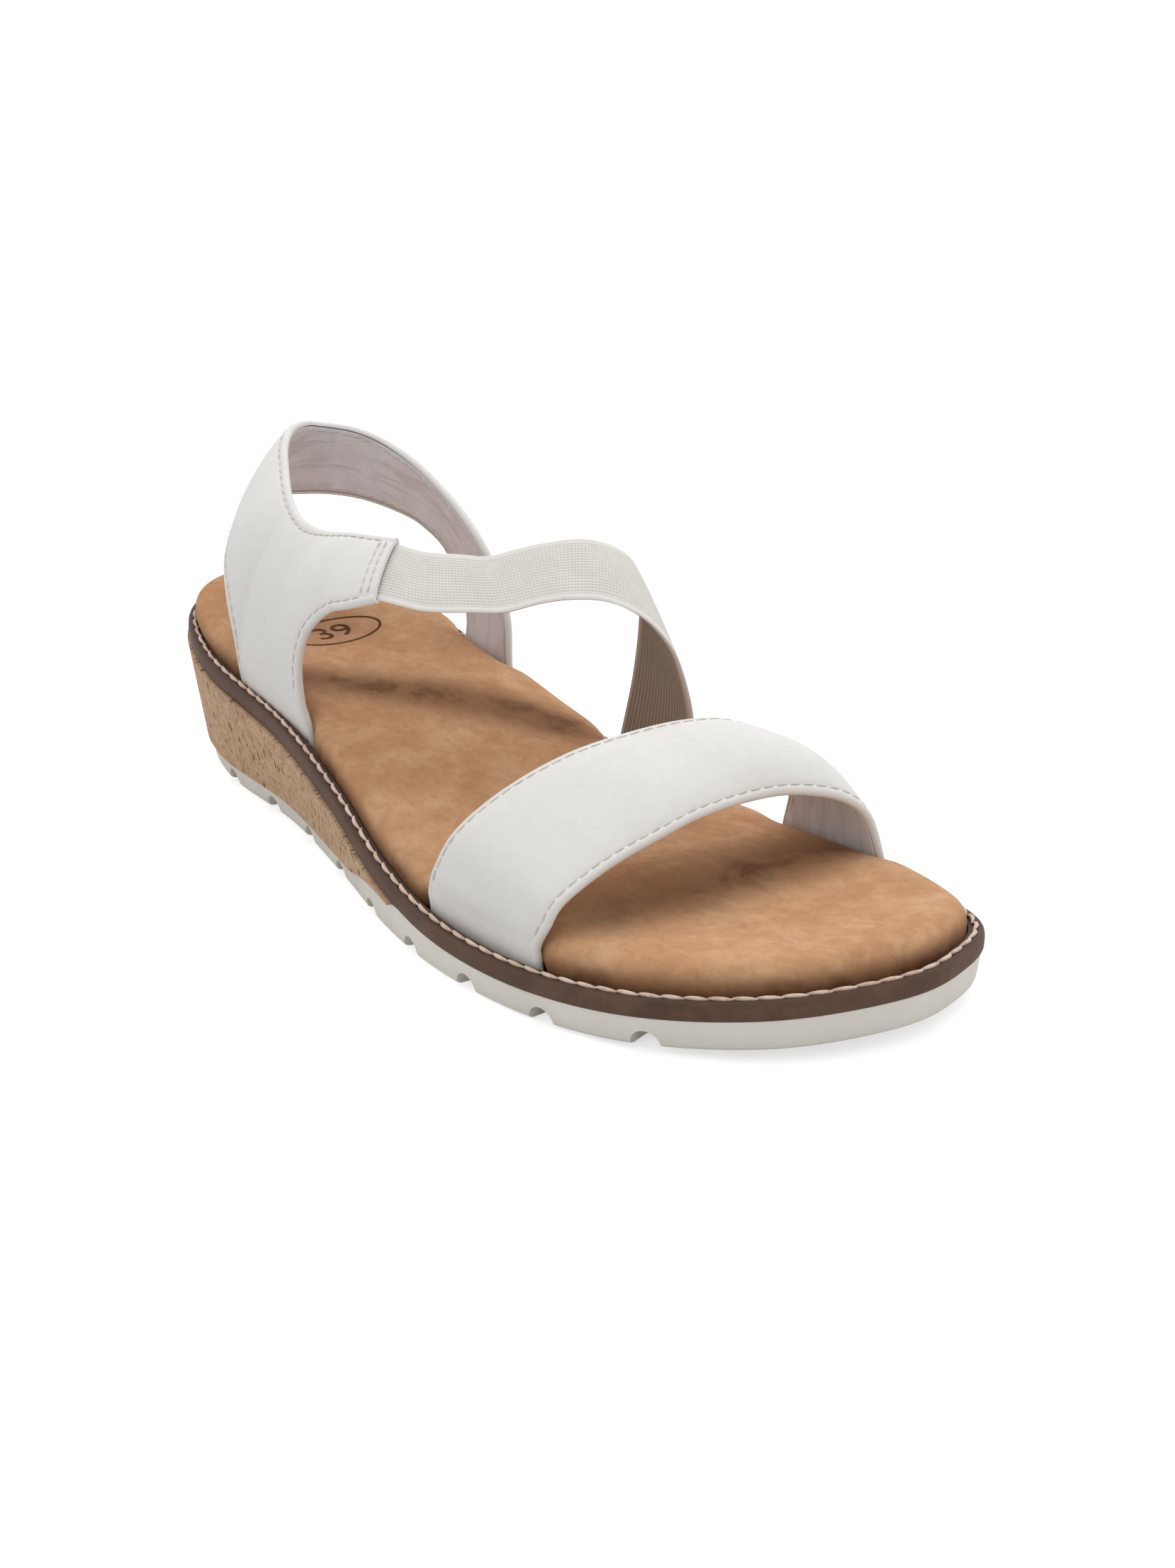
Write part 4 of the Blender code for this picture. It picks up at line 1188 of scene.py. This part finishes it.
def fleck_group():
    """Scattered flecks, longer one way: 1 inside a fleck and 0 outside."""
    tree, given, result = start_group(
        "Flecks",
        [("Vector", VECTOR, None), ("Stretch", VECTOR, (1.0, 1.0, 1.0)), ("Scale", FLOAT, 200.0),
         ("Threshold", FLOAT, 0.62), ("Softness", FLOAT, 0.03)],
        ["Mask"])
    drawn = add_node(tree, "ShaderNodeVectorMath", {0: given["Vector"], 1: given["Stretch"]},
                     operation="MULTIPLY")
    noise = add_node(tree, "ShaderNodeTexNoise", {
        "Vector": drawn.outputs[0], "Scale": given["Scale"], "Detail": 2.0, "Distortion": 0.6})
    upper = add_node(tree, "ShaderNodeMath", {0: given["Threshold"], 1: given["Softness"]},
                     operation="ADD")
    mask = add_node(tree, "ShaderNodeMapRange", {
        "Value": noise.outputs[0], "From Min": given["Threshold"], "From Max": upper.outputs[0]},
        interpolation_type="SMOOTHSTEP")
    tree.links.new(mask.outputs[0], result["Mask"])
    return tree


MOTTLE, NAP, GRAIN, FLECKS = mottle_group(), nap_group(), grain_group(), fleck_group()
print("groups:", [group.name for group in (MOTTLE, NAP, GRAIN, FLECKS)])
# %% [markdown]
# Every finish starts the same way: a new material, its Principled shader, and the values that
# are the same all over set straight on the shader. A small class keeps that in one place.

# %% Starting a finish
def srgb(*levels):
    """A colour from 0-255 screen levels, as the linear values that a shader wants."""
    linear = []
    for level in levels:
        c = level / 255
        linear.append(c / 12.92 if c <= 0.04045 else ((c + 0.055) / 1.055) ** 2.4)
    return (*linear, 1.0)


class Finish:
    """A material with its shader, and short ways to add a group, a colour mix and a bump."""

    def __init__(self, name, **sockets):
        self.material = bpy.data.materials.new(name)
        self.material.use_nodes = True
        self.tree = self.material.node_tree
        self.shader = self.tree.nodes["Principled BSDF"]
        for label, value in sockets.items():
            self.shader.inputs[label.replace("_", " ")].default_value = value
        self.place = self.add("ShaderNodeTexCoord").outputs

    def add(self, kind, inputs=None, **settings):
        return add_node(self.tree, kind, inputs, **settings)

    def group(self, tree, **inputs):
        made = self.tree.nodes.new("ShaderNodeGroup")
        made.node_tree = tree
        for label, value in inputs.items():
            if isinstance(value, bpy.types.NodeSocket):
                self.tree.links.new(value, made.inputs[label])
            else:
                made.inputs[label].default_value = value
        return made.outputs

    def mottle(self, scale, low=0.35, high=0.65, vector=None):
        vector = vector or self.place["Object"]
        return self.group(MOTTLE, Vector=vector, Scale=scale, Low=low, High=high)["Value"]

    def scaled(self, value, by, plus=0.0):
        made = self.add("ShaderNodeMath", {0: value, 1: by, 2: plus}, operation="MULTIPLY_ADD")
        return made.outputs[0]

    def mix(self, share, first, second):
        made = self.add("ShaderNodeMix", data_type="RGBA")
        for index, value in ((0, share), (6, first), (7, second)):
            if isinstance(value, bpy.types.NodeSocket):
                self.tree.links.new(value, made.inputs[index])
            else:
                made.inputs[index].default_value = value
        return made.outputs[2]

    def bump(self, height, distance, strength=1.0, normal=None):
        made = self.add("ShaderNodeBump", {"Height": height, "Strength": strength,
                                           "Distance": distance * MM})
        if normal is not None:
            self.tree.links.new(normal, made.inputs["Normal"])
        return made.outputs[0]

    def wire(self, **sockets):
        for label, value in sockets.items():
            self.tree.links.new(value, self.shader.inputs[label.replace("_", " ")])
        return self.material


# %% [markdown]
# The leather is soft and nearly matt, with a faint cloudiness and a very fine grain. The
# lining is a microfibre with a cool tinge and soft creases across the strap, dented by a bump
# and darkened with painted shade. Both could be painted maps; procedural noise has no seams
# and stays sharp at any distance.

# %% Leather, lining and thread
def leather_finish():
    look = Finish("soft matte leather", Roughness=0.5, Specular_IOR_Level=0.4, Sheen_Weight=0.05)
    cloud = look.mottle(45.0, 0.3, 0.7)
    fine = look.mottle(420.0, 0.3, 0.7)
    colour = look.mix(cloud, srgb(229, 227, 222), srgb(234, 232, 228))
    colour = look.mix(look.scaled(fine, 0.3), colour, srgb(222, 220, 215))
    grain = look.group(GRAIN, Vector=look.place["Object"], Scale=1500.0)
    normal = look.bump(grain["Height"], 0.05, 0.5)
    normal = look.bump(cloud, 0.35, 0.25, normal)
    rough = look.scaled(fine, 0.12, 0.44)
    return look.wire(Base_Color=colour, Roughness=rough, Normal=normal)


def lining_finish():
    look = Finish("microfibre lining", Roughness=0.9, Specular_IOR_Level=0.2, Sheen_Weight=0.3)
    cloud = look.mottle(90.0, 0.3, 0.7)
    nap = look.group(NAP, Vector=look.place["Object"], Scale=1300.0, Stretch=0.5)
    colour = look.mix(cloud, srgb(222, 219, 222), srgb(233, 230, 233))
    colour = look.mix(look.scaled(nap["Shade"], 0.3), colour, srgb(202, 195, 196))
    creases = look.group(FLECKS, Vector=look.place["UV"], Stretch=(3.0, 0.4, 1.0), Scale=1.1,
                         Threshold=0.46, Softness=0.2)["Mask"]
    # Painted shade in the creases; the bump below dents them.
    colour = look.mix(look.scaled(creases, 0.35), colour, srgb(190, 181, 184))
    normal = look.bump(creases, -0.3, 0.5, look.bump(nap["Height"], 0.12, 0.6))
    return look.wire(Base_Color=colour, Normal=normal)


def thread_finish(name, light, dark, scale):
    look = Finish(name, Roughness=0.6, Specular_IOR_Level=0.3, Sheen_Weight=0.2)
    twist = look.group(NAP, Vector=look.place["Object"], Scale=scale, Stretch=0.5)
    colour = look.mix(twist["Shade"], light, dark)
    return look.wire(Base_Color=colour, Normal=look.bump(twist["Height"], 0.1, 0.7))


LEATHER_LOOK = leather_finish()
LINING_LOOK = lining_finish()
THREAD_LOOK = thread_finish("strap thread", srgb(226, 222, 214), srgb(205, 198, 190), 2600.0)
WELT_THREAD_LOOK = thread_finish("waxed welt thread", srgb(238, 214, 196), srgb(205, 174, 152),
                                 1500.0)
print("finishes:", [look.name for look in (LEATHER_LOOK, LINING_LOOK, THREAD_LOOK,
                                           WELT_THREAD_LOOK)])

# %% [markdown]
# The suede has painted shade along the slope of the arch support and a painted shadow of the
# vamp strap behind the toes, and its side is darker towards the welt. Those marks belong to
# places on the footbed, so they are stored on its vertices, and noise makes their edges ragged.

# %% Suede
SHADE_MARK = "painted_shade"
SIDE_DARK_MARK = "side_darkening"


def suede_zones(piece):
    """Painted shade on the arch support, painted shadow behind the toes, and the darker side."""
    mesh = piece.data
    spots = np.zeros(len(mesh.vertices) * 3, dtype=np.float32)
    mesh.vertices.foreach_get("co", spots)
    x, y, z = (spots.reshape(-1, 3) / MM - PLACE).T
    # Painted shade where the arch support slopes away from the light, and a painted shadow of the
    # vamp strap behind the toes.
    off = arch_line(x, y)
    reach = smoothstep(x, 48, 72) * (1 - smoothstep(x, 118, 140))
    arch = 1.3 * gauss(off, -0.5, 6.5) * reach * (0.7 + 0.3 * smoothstep(y, -15, 22))
    toes = gauss(x + 0.04 * y, 203, 8.5) * 0.95 * smoothstep(y, -44, -8)
    # The side is made darker from just under the rim down towards the welt.
    drop = welt_base(x) + FOOTBED_RIM - z
    side = smoothstep(drop, 1.5, 5.4)
    mark(piece, SHADE_MARK, np.clip(arch + toes, 0, 1))
    mark(piece, SIDE_DARK_MARK, side)
    return float(arch.max()), float(side.max())


def suede_finish():
    look = Finish("brushed suede", Roughness=0.95, Specular_IOR_Level=0.1, Sheen_Weight=0.2,
                  Sheen_Roughness=0.5)
    look.shader.inputs["Sheen Tint"].default_value = srgb(230, 190, 150)
    place = look.place["Object"]
    cloud = look.mottle(30.0, 0.32, 0.68)
    patch = look.mottle(95.0, 0.4, 0.72)
    nap = look.group(NAP, Vector=place, Scale=1500.0, Stretch=0.75)
    colour = look.mix(cloud, srgb(188, 140, 102), srgb(206, 160, 121))
    colour = look.mix(look.scaled(patch, 0.65), colour, srgb(219, 178, 140))
    colour = look.mix(look.scaled(nap["Shade"], 0.4), colour, srgb(158, 114, 78))
    # Painted shade and painted shadow from the vertex marks, made ragged by the patches.
    painted_shade_zone = look.add("ShaderNodeAttribute", attribute_name=SHADE_MARK).outputs["Fac"]
    ragged = look.add("ShaderNodeMath", {0: painted_shade_zone, 1: look.scaled(patch, 0.45, 0.75)},
                      operation="MULTIPLY").outputs[0]
    colour = look.mix(ragged, colour, srgb(114, 79, 56))
    # The side darker towards the welt, its edge made ragged by the patches.
    side_darkening = look.add("ShaderNodeAttribute", attribute_name=SIDE_DARK_MARK).outputs["Fac"]
    darker_side = look.add("ShaderNodeMath", {0: side_darkening, 1: look.scaled(patch, 0.35, 0.7)},
                         operation="MULTIPLY").outputs[0]
    colour = look.mix(darker_side, colour, srgb(104, 68, 44))
    normal = look.bump(nap["Height"], 0.2, 0.8)
    normal = look.bump(patch, 0.25, 0.25, normal)
    return look.wire(Base_Color=colour, Normal=normal)


def stamp_finish():
    look = Finish("burnt stamp", Roughness=0.9, Specular_IOR_Level=0.15)
    nap = look.group(NAP, Vector=look.place["Object"], Scale=1500.0, Stretch=0.75)
    colour = look.mix(nap["Shade"], srgb(98, 66, 44), srgb(70, 45, 30))
    return look.wire(Base_Color=colour, Normal=look.bump(nap["Height"], 0.15, 0.7))


print("strongest marks", suede_zones(footbed))
SUEDE_LOOK = suede_finish()

# %% [markdown]
# Pressed cork is light grains with dark flecks that stand upright, so its pattern runs on the
# strip's UV map. The welt is brown board, darker on the faces that point up. The outsole is
# off-white rubber, almost plain, with a slight cloudiness and a few specks.

# %% Cork, welt and rubber
def cork_finish():
    """The UV map is in centimetres along and up the strip, so flecks stand upright."""
    look = Finish("pressed cork", Roughness=0.8, Specular_IOR_Level=0.25)
    place = look.place["UV"]
    cloud = look.mottle(3.2, 0.3, 0.7, place)
    grains = look.add("ShaderNodeTexVoronoi", {"Vector": place, "Scale": 11.0},
                      feature="F1").outputs
    colour = look.mix(cloud, srgb(198, 162, 128), srgb(216, 183, 149))
    tint = look.add("ShaderNodeSeparateColor", {"Color": grains["Color"]}).outputs[0]
    colour = look.mix(look.scaled(tint, 0.4), colour, srgb(168, 135, 105))
    streaks = look.group(FLECKS, Vector=place, Stretch=(0.3, 1.6, 1.0), Scale=5.0,
                         Threshold=0.56, Softness=0.08)["Mask"]
    dark = look.group(FLECKS, Vector=place, Stretch=(1.6, 0.5, 1.0), Scale=7.0,
                      Threshold=0.62, Softness=0.02)["Mask"]
    small = look.group(FLECKS, Vector=place, Stretch=(1.2, 0.8, 1.0), Scale=24.0,
                       Threshold=0.6, Softness=0.03)["Mask"]
    colour = look.mix(look.scaled(streaks, 0.5), colour, srgb(214, 188, 158))
    colour = look.mix(look.scaled(small, 0.3), colour, srgb(124, 92, 68))
    colour = look.mix(look.scaled(dark, 0.85), colour, srgb(88, 66, 52))
    depth = look.add("ShaderNodeMath", {0: grains["Distance"], 1: dark}, operation="SUBTRACT")
    return look.wire(Base_Color=colour, Normal=look.bump(depth.outputs[0], 0.15, 0.6))


def welt_finish():
    look = Finish("burnished welt", Roughness=0.55, Specular_IOR_Level=0.3)
    place = look.place["Object"]
    cloud = look.mottle(70.0, 0.3, 0.7)
    nap = look.group(NAP, Vector=place, Scale=900.0, Stretch=0.4)
    colour = look.mix(cloud, srgb(88, 62, 48), srgb(116, 88, 71))
    colour = look.mix(look.scaled(nap["Shade"], 0.5), colour, srgb(74, 54, 43))
    # The faces that point up are made darker than the sides.
    up = look.add("ShaderNodeSeparateXYZ", {
        "Vector": look.add("ShaderNodeNewGeometry").outputs["Normal"]}).outputs["Z"]
    top = look.add("ShaderNodeMapRange", {
        "Value": up, "From Min": 0.55, "From Max": 0.95}).outputs[0]
    colour = look.mix(look.scaled(top, 0.7), colour, srgb(66, 40, 28))
    rough = look.scaled(cloud, 0.15, 0.48)
    normal = look.bump(nap["Height"], 0.1, 0.5)
    return look.wire(Base_Color=colour, Roughness=rough, Normal=normal)


def rubber_finish():
    look = Finish("moulded rubber", Roughness=0.55, Specular_IOR_Level=0.4)
    cloud = look.mottle(60.0, 0.3, 0.7)
    speckle = look.group(FLECKS, Vector=look.place["Object"], Scale=260.0, Threshold=0.72,
                         Softness=0.03)["Mask"]
    grain = look.group(GRAIN, Vector=look.place["Object"], Scale=1800.0)
    colour = look.mix(cloud, srgb(233, 228, 218), srgb(239, 235, 226))
    colour = look.mix(look.scaled(speckle, 0.3), colour, srgb(180, 172, 160))
    rough = look.scaled(cloud, 0.1, 0.5)
    normal = look.bump(grain["Height"], 0.04, 0.5)
    return look.wire(Base_Color=colour, Roughness=rough, Normal=normal)


CORK_LOOK, WELT_LOOK, RUBBER_LOOK = cork_finish(), welt_finish(), rubber_finish()
print("finishes:", [look.name for look in (CORK_LOOK, WELT_LOOK, RUBBER_LOOK)])

# %% [markdown]
# The band's ribs are in its mesh. The weft threads that cross them are much finer, so the
# material adds them: a sine wave along the band, seen only in the valleys between the ribs.
# The valleys, and the troughs of the weft in them, get painted shade.
# The side towards the foot is painted darker all over, as painted shade.

# %% Elastic weave
PICKS_PER_CM = 13.0


def elastic_finish():
    """The UV map is in centimetres: ribs repeat across the band, picks along it."""
    look = Finish("woven elastic", Roughness=0.75, Specular_IOR_Level=0.25, Sheen_Weight=0.15)
    split = look.add("ShaderNodeSeparateXYZ", {"Vector": look.place["UV"]}).outputs
    phase = look.scaled(split["Y"], 2 * math.pi * PICKS_PER_CM)
    picks = look.add("ShaderNodeMath", {0: phase}, operation="SINE").outputs[0]
    rib = look.add("ShaderNodeAttribute", attribute_name="rib_valley").outputs["Fac"]
    weave = look.add("ShaderNodeMapRange", {"Value": picks, "From Min": -0.5, "From Max": 1.0})
    dent = look.add("ShaderNodeMath", {0: weave.outputs[0], 1: rib},
                    operation="MULTIPLY").outputs[0]
    cloud = look.mottle(150.0, 0.3, 0.7)
    fibre = look.group(NAP, Vector=look.place["Object"], Scale=2600.0, Stretch=0.4)
    colour = look.mix(cloud, srgb(229, 226, 220), srgb(236, 233, 228))
    colour = look.mix(look.scaled(fibre["Shade"], 0.2), colour, srgb(206, 201, 194))
    # Painted shade in the valleys between the ribs, and in the troughs of the weft there.
    colour = look.mix(look.scaled(rib, 0.4), colour, srgb(188, 182, 174))
    colour = look.mix(look.scaled(dent, 0.28), colour, srgb(150, 143, 135))
    # Painted shade: the side towards the foot is darker, and darker again in its valleys.
    inner = look.add("ShaderNodeAttribute", attribute_name="inner_side").outputs["Fac"]
    back = look.mix(rib, srgb(190, 176, 162), srgb(132, 118, 104))
    colour = look.mix(inner, colour, back)
    normal = look.bump(dent, -0.08, 0.6)
    return look.wire(Base_Color=colour, Normal=look.bump(fibre["Height"], 0.06, 0.4, normal))


ELASTIC_LOOK = elastic_finish()
print("finish:", ELASTIC_LOOK.name)

# %% [markdown]
# Hidden pieces keep their CAD shapes and still get a finish of their own, because the model
# can be taken apart: open-cell foams, fibre board and a blued steel shank.

# %% Hidden pieces
def foam_finish(name, light, dark, scale):
    look = Finish(name, Roughness=0.95, Specular_IOR_Level=0.2)
    cells = look.add("ShaderNodeTexVoronoi", {
        "Vector": look.place["Object"], "Scale": scale}).outputs
    colour = look.mix(look.mottle(80.0), light, dark)
    return look.wire(Base_Color=colour, Normal=look.bump(cells["Distance"], 0.2, 0.8))


def board_finish():
    look = Finish("fibre board", Roughness=0.85)
    nap = look.group(NAP, Vector=look.place["Object"], Scale=500.0, Stretch=0.3)
    colour = look.mix(nap["Shade"], srgb(196, 178, 150), srgb(168, 146, 116))
    return look.wire(Base_Color=colour, Normal=look.bump(nap["Height"], 0.1, 0.5))


def steel_finish():
    look = Finish("spring steel", Roughness=0.35, Metallic=1.0)
    nap = look.group(NAP, Vector=look.place["Object"], Scale=1400.0, Stretch=0.06)
    colour = look.mix(nap["Shade"], srgb(150, 154, 162), srgb(112, 116, 126))
    rough = look.scaled(nap["Shade"], 0.25, 0.25)
    return look.wire(Base_Color=colour, Roughness=rough)


STRAP_FOAM_LOOK = foam_finish("strap foam", srgb(226, 220, 200), srgb(210, 202, 180), 1600.0)


def dress(piece, look):
    """Give a piece its one finish."""
    if len(piece.material_slots):
        for place in piece.material_slots:
            place.material = look
    else:
        piece.data.materials.append(look)


for node, look in {
    "wedge_core": foam_finish("wedge foam", srgb(120, 104, 90), srgb(98, 84, 72), 1200.0),
    "footbed_foam": foam_finish("footbed foam", srgb(220, 206, 180), srgb(200, 184, 156), 1400.0),
    "insole_board": board_finish(),
    "shank": steel_finish(),
}.items():
    dress(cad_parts[node], look)
    print(node, "is dressed in", look.name)

# %% [markdown]
# ## Join the pieces to the frame
# Each new piece says which CAD node it stands for, and the pieces that ride on the sole move
# with its body. The heel strap turns about its lower ends, and real leather bends there instead
# of hinging; here the heel strap's pieces and the elastic are dressed but not attached to a body.

# %% Riding on the sole
dress(stamp, stamp_finish())
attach(stamp, "sole")
for piece, look, slot, nodes in (
    (outsole, RUBBER_LOOK, "outsole_rubber", ["outsole"]),
    (cork, CORK_LOOK, "cork", ["cork_wrap"]),
    (welt, WELT_LOOK, "welt_leather", ["welt"]),
    (footbed, SUEDE_LOOK, "suede", ["footbed_cover"]),
    (vamp_leather, LEATHER_LOOK, "strap_leather", ["vamp_leather"]),
    (vamp_lining, LINING_LOOK, "lining", ["vamp_lining"]),
    (vamp_foam, STRAP_FOAM_LOOK, "padding_foam", ["vamp_padding"]),
    (vamp_front, THREAD_LOOK, "strap_thread", ["vamp_front_thread"]),
    (vamp_rear, THREAD_LOOK, "strap_thread", ["vamp_rear_thread"]),
    (welt_stitches, WELT_THREAD_LOOK, "welt_thread", ["welt_thread"]),
):
    dress(piece, look)
    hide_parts(*nodes)
    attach(piece, "sole")
    print(piece.name, "stands for", ", ".join(nodes))

# %% [markdown]
# The heel strap's thread, foam, lining and leather are dressed, their CAD nodes are hidden,
# and their places are baked into their meshes.

# %% The heel strap's pieces
for piece, look, slot, nodes in (
    (heel_leather, LEATHER_LOOK, "strap_leather",
     ["heel_strap_leather", "outer_root_leather", "inner_root_leather"]),
    (heel_lining, LINING_LOOK, "lining",
     ["heel_strap_lining", "outer_root_lining", "inner_root_lining"]),
    (heel_foam, STRAP_FOAM_LOOK, "padding_foam", ["heel_strap_padding"]),
    (heel_upper, THREAD_LOOK, "strap_thread", ["heel_strap_top_thread"]),
    (heel_lower, THREAD_LOOK, "strap_thread", ["heel_strap_lower_thread"]),
    (tab_front, THREAD_LOOK, "strap_thread", ["tab_front_thread"]),
    (tab_end, THREAD_LOOK, "strap_thread", ["tab_end_thread"]),
):
    dress(piece, look)
    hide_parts(*nodes)
    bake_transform(piece)
    print(piece.name, "stands for", ", ".join(nodes))

dress(elastic, ELASTIC_LOOK)
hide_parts("elastic_strap")
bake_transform(elastic)

# %% [markdown]
# ## Light, floor and camera
# A white floor and a white sky give the plain studio look, and one wide lamp above, a little
# behind the sandal, models the straps without hard shadows.

# %% Sky and floor
SKY_FROM = (-0.45, 0.42, 0.79)
SKY_DARK, SKY_BRIGHT = 0.5, 1.12
FLOOR_GLOW = 0.6


def seen_directly(tree):
    """1 for what the camera sees directly, 0 for light that reaches the sandal."""
    return add_node(tree, "ShaderNodeLightPath").outputs["Is Camera Ray"]


def studio_sky():
    """White behind the sandal, and a soft light that is strongest from above and behind."""
    world = bpy.data.worlds.new("white studio")
    bpy.context.scene.world = world
    world.use_nodes = True
    tree = world.node_tree
    way = add_node(tree, "ShaderNodeTexCoord").outputs["Generated"]
    towards = add_node(tree, "ShaderNodeVectorMath", {0: way, 1: SKY_FROM},
                       operation="DOT_PRODUCT").outputs["Value"]
    soft = add_node(tree, "ShaderNodeMapRange", {
        "Value": towards, "From Min": -0.5, "From Max": 1.0, "To Min": SKY_DARK,
        "To Max": SKY_BRIGHT}).outputs[0]
    level = add_node(tree, "ShaderNodeMix", {"Factor": seen_directly(tree), 2: soft, 3: 1.0})
    sky = tree.nodes["Background"].inputs
    tree.links.new(level.outputs[0], sky["Strength"])
    sky["Color"].default_value = (1, 1, 1, 1)


def studio_floor():
    """A white floor: it looks evenly white, but throws back only part of the light."""
    bpy.ops.object.select_all(action="DESELECT")
    bpy.ops.mesh.primitive_grid_add(x_subdivisions=4, y_subdivisions=4, size=30.0)
    floor = bpy.context.object
    floor.name = "studio_floor"
    paint = Finish("white floor", Roughness=0.9, Specular_IOR_Level=0.0)
    colour = paint.mix(paint.mottle(3.0), (0.72, 0.72, 0.72, 1), (0.74, 0.74, 0.74, 1))
    paint.shader.inputs["Emission Color"].default_value = (1, 1, 1, 1)
    glow = paint.scaled(seen_directly(paint.tree), FLOOR_GLOW)
    dress(floor, paint.wire(Base_Color=colour, Emission_Strength=glow))


# %% Light the sandal
SOFTBOX_PLACE = (-0.35, 0.45, 1.2)
SOFTBOX_TARGET = (0, 0, 0.02)
SOFTBOX_SIZE = 0.8
SOFTBOX_POWER = 3.5


def lamp(name, place, target, size, power):
    """A square soft lamp that faces a target."""
    bpy.ops.object.light_add(type="AREA", location=place)
    made = bpy.context.object
    made.name = name
    made.data.size = size
    made.data.energy = power
    made.rotation_euler = (Vector(target) - Vector(place)).to_track_quat("-Z", "Y").to_euler()
    print(name, "gives", power, "W")


studio_sky()
studio_floor()
lamp("overhead softbox", SOFTBOX_PLACE, SOFTBOX_TARGET, SOFTBOX_SIZE, SOFTBOX_POWER)
bpy.context.scene.view_settings.view_transform = "Standard"

# %% [markdown]
# The camera looks down on the toe from in front and from the outer side. A real tripod is
# never quite level, so it also has a small roll about its line of sight.

# %% Camera
CAMERA_PLACE = (637.62, -300.66, 243.63)
CAMERA_TARGET = (141.9, 12.73, 20.0)
CAMERA_ROLL = -2.59
CAMERA_LENS = 63.22


def set_camera(place, target, roll, lens):
    """A camera that looks at a target, turned about its line of sight by the roll."""
    bpy.ops.object.camera_add()
    camera = bpy.context.object
    ahead = (Vector(target) - Vector(place)).normalized()
    right = ahead.cross(Vector((0, 0, 1))).normalized()
    up = right.cross(ahead)
    turn = math.radians(roll)
    side = right * math.cos(turn) + up * math.sin(turn)
    over = up * math.cos(turn) - right * math.sin(turn)
    turned_to = Matrix((side, over, -ahead)).transposed().to_4x4()
    camera.matrix_world = Matrix.Translation(place) @ turned_to
    camera.data.lens = lens
    camera.data.sensor_width = 36.0
    camera.data.clip_start = 0.01
    bpy.context.scene.camera = camera
    return camera


camera = set_camera(in_frame(CAMERA_PLACE), in_frame(CAMERA_TARGET), CAMERA_ROLL, CAMERA_LENS)
print("camera", np.array(camera.location).round(3))
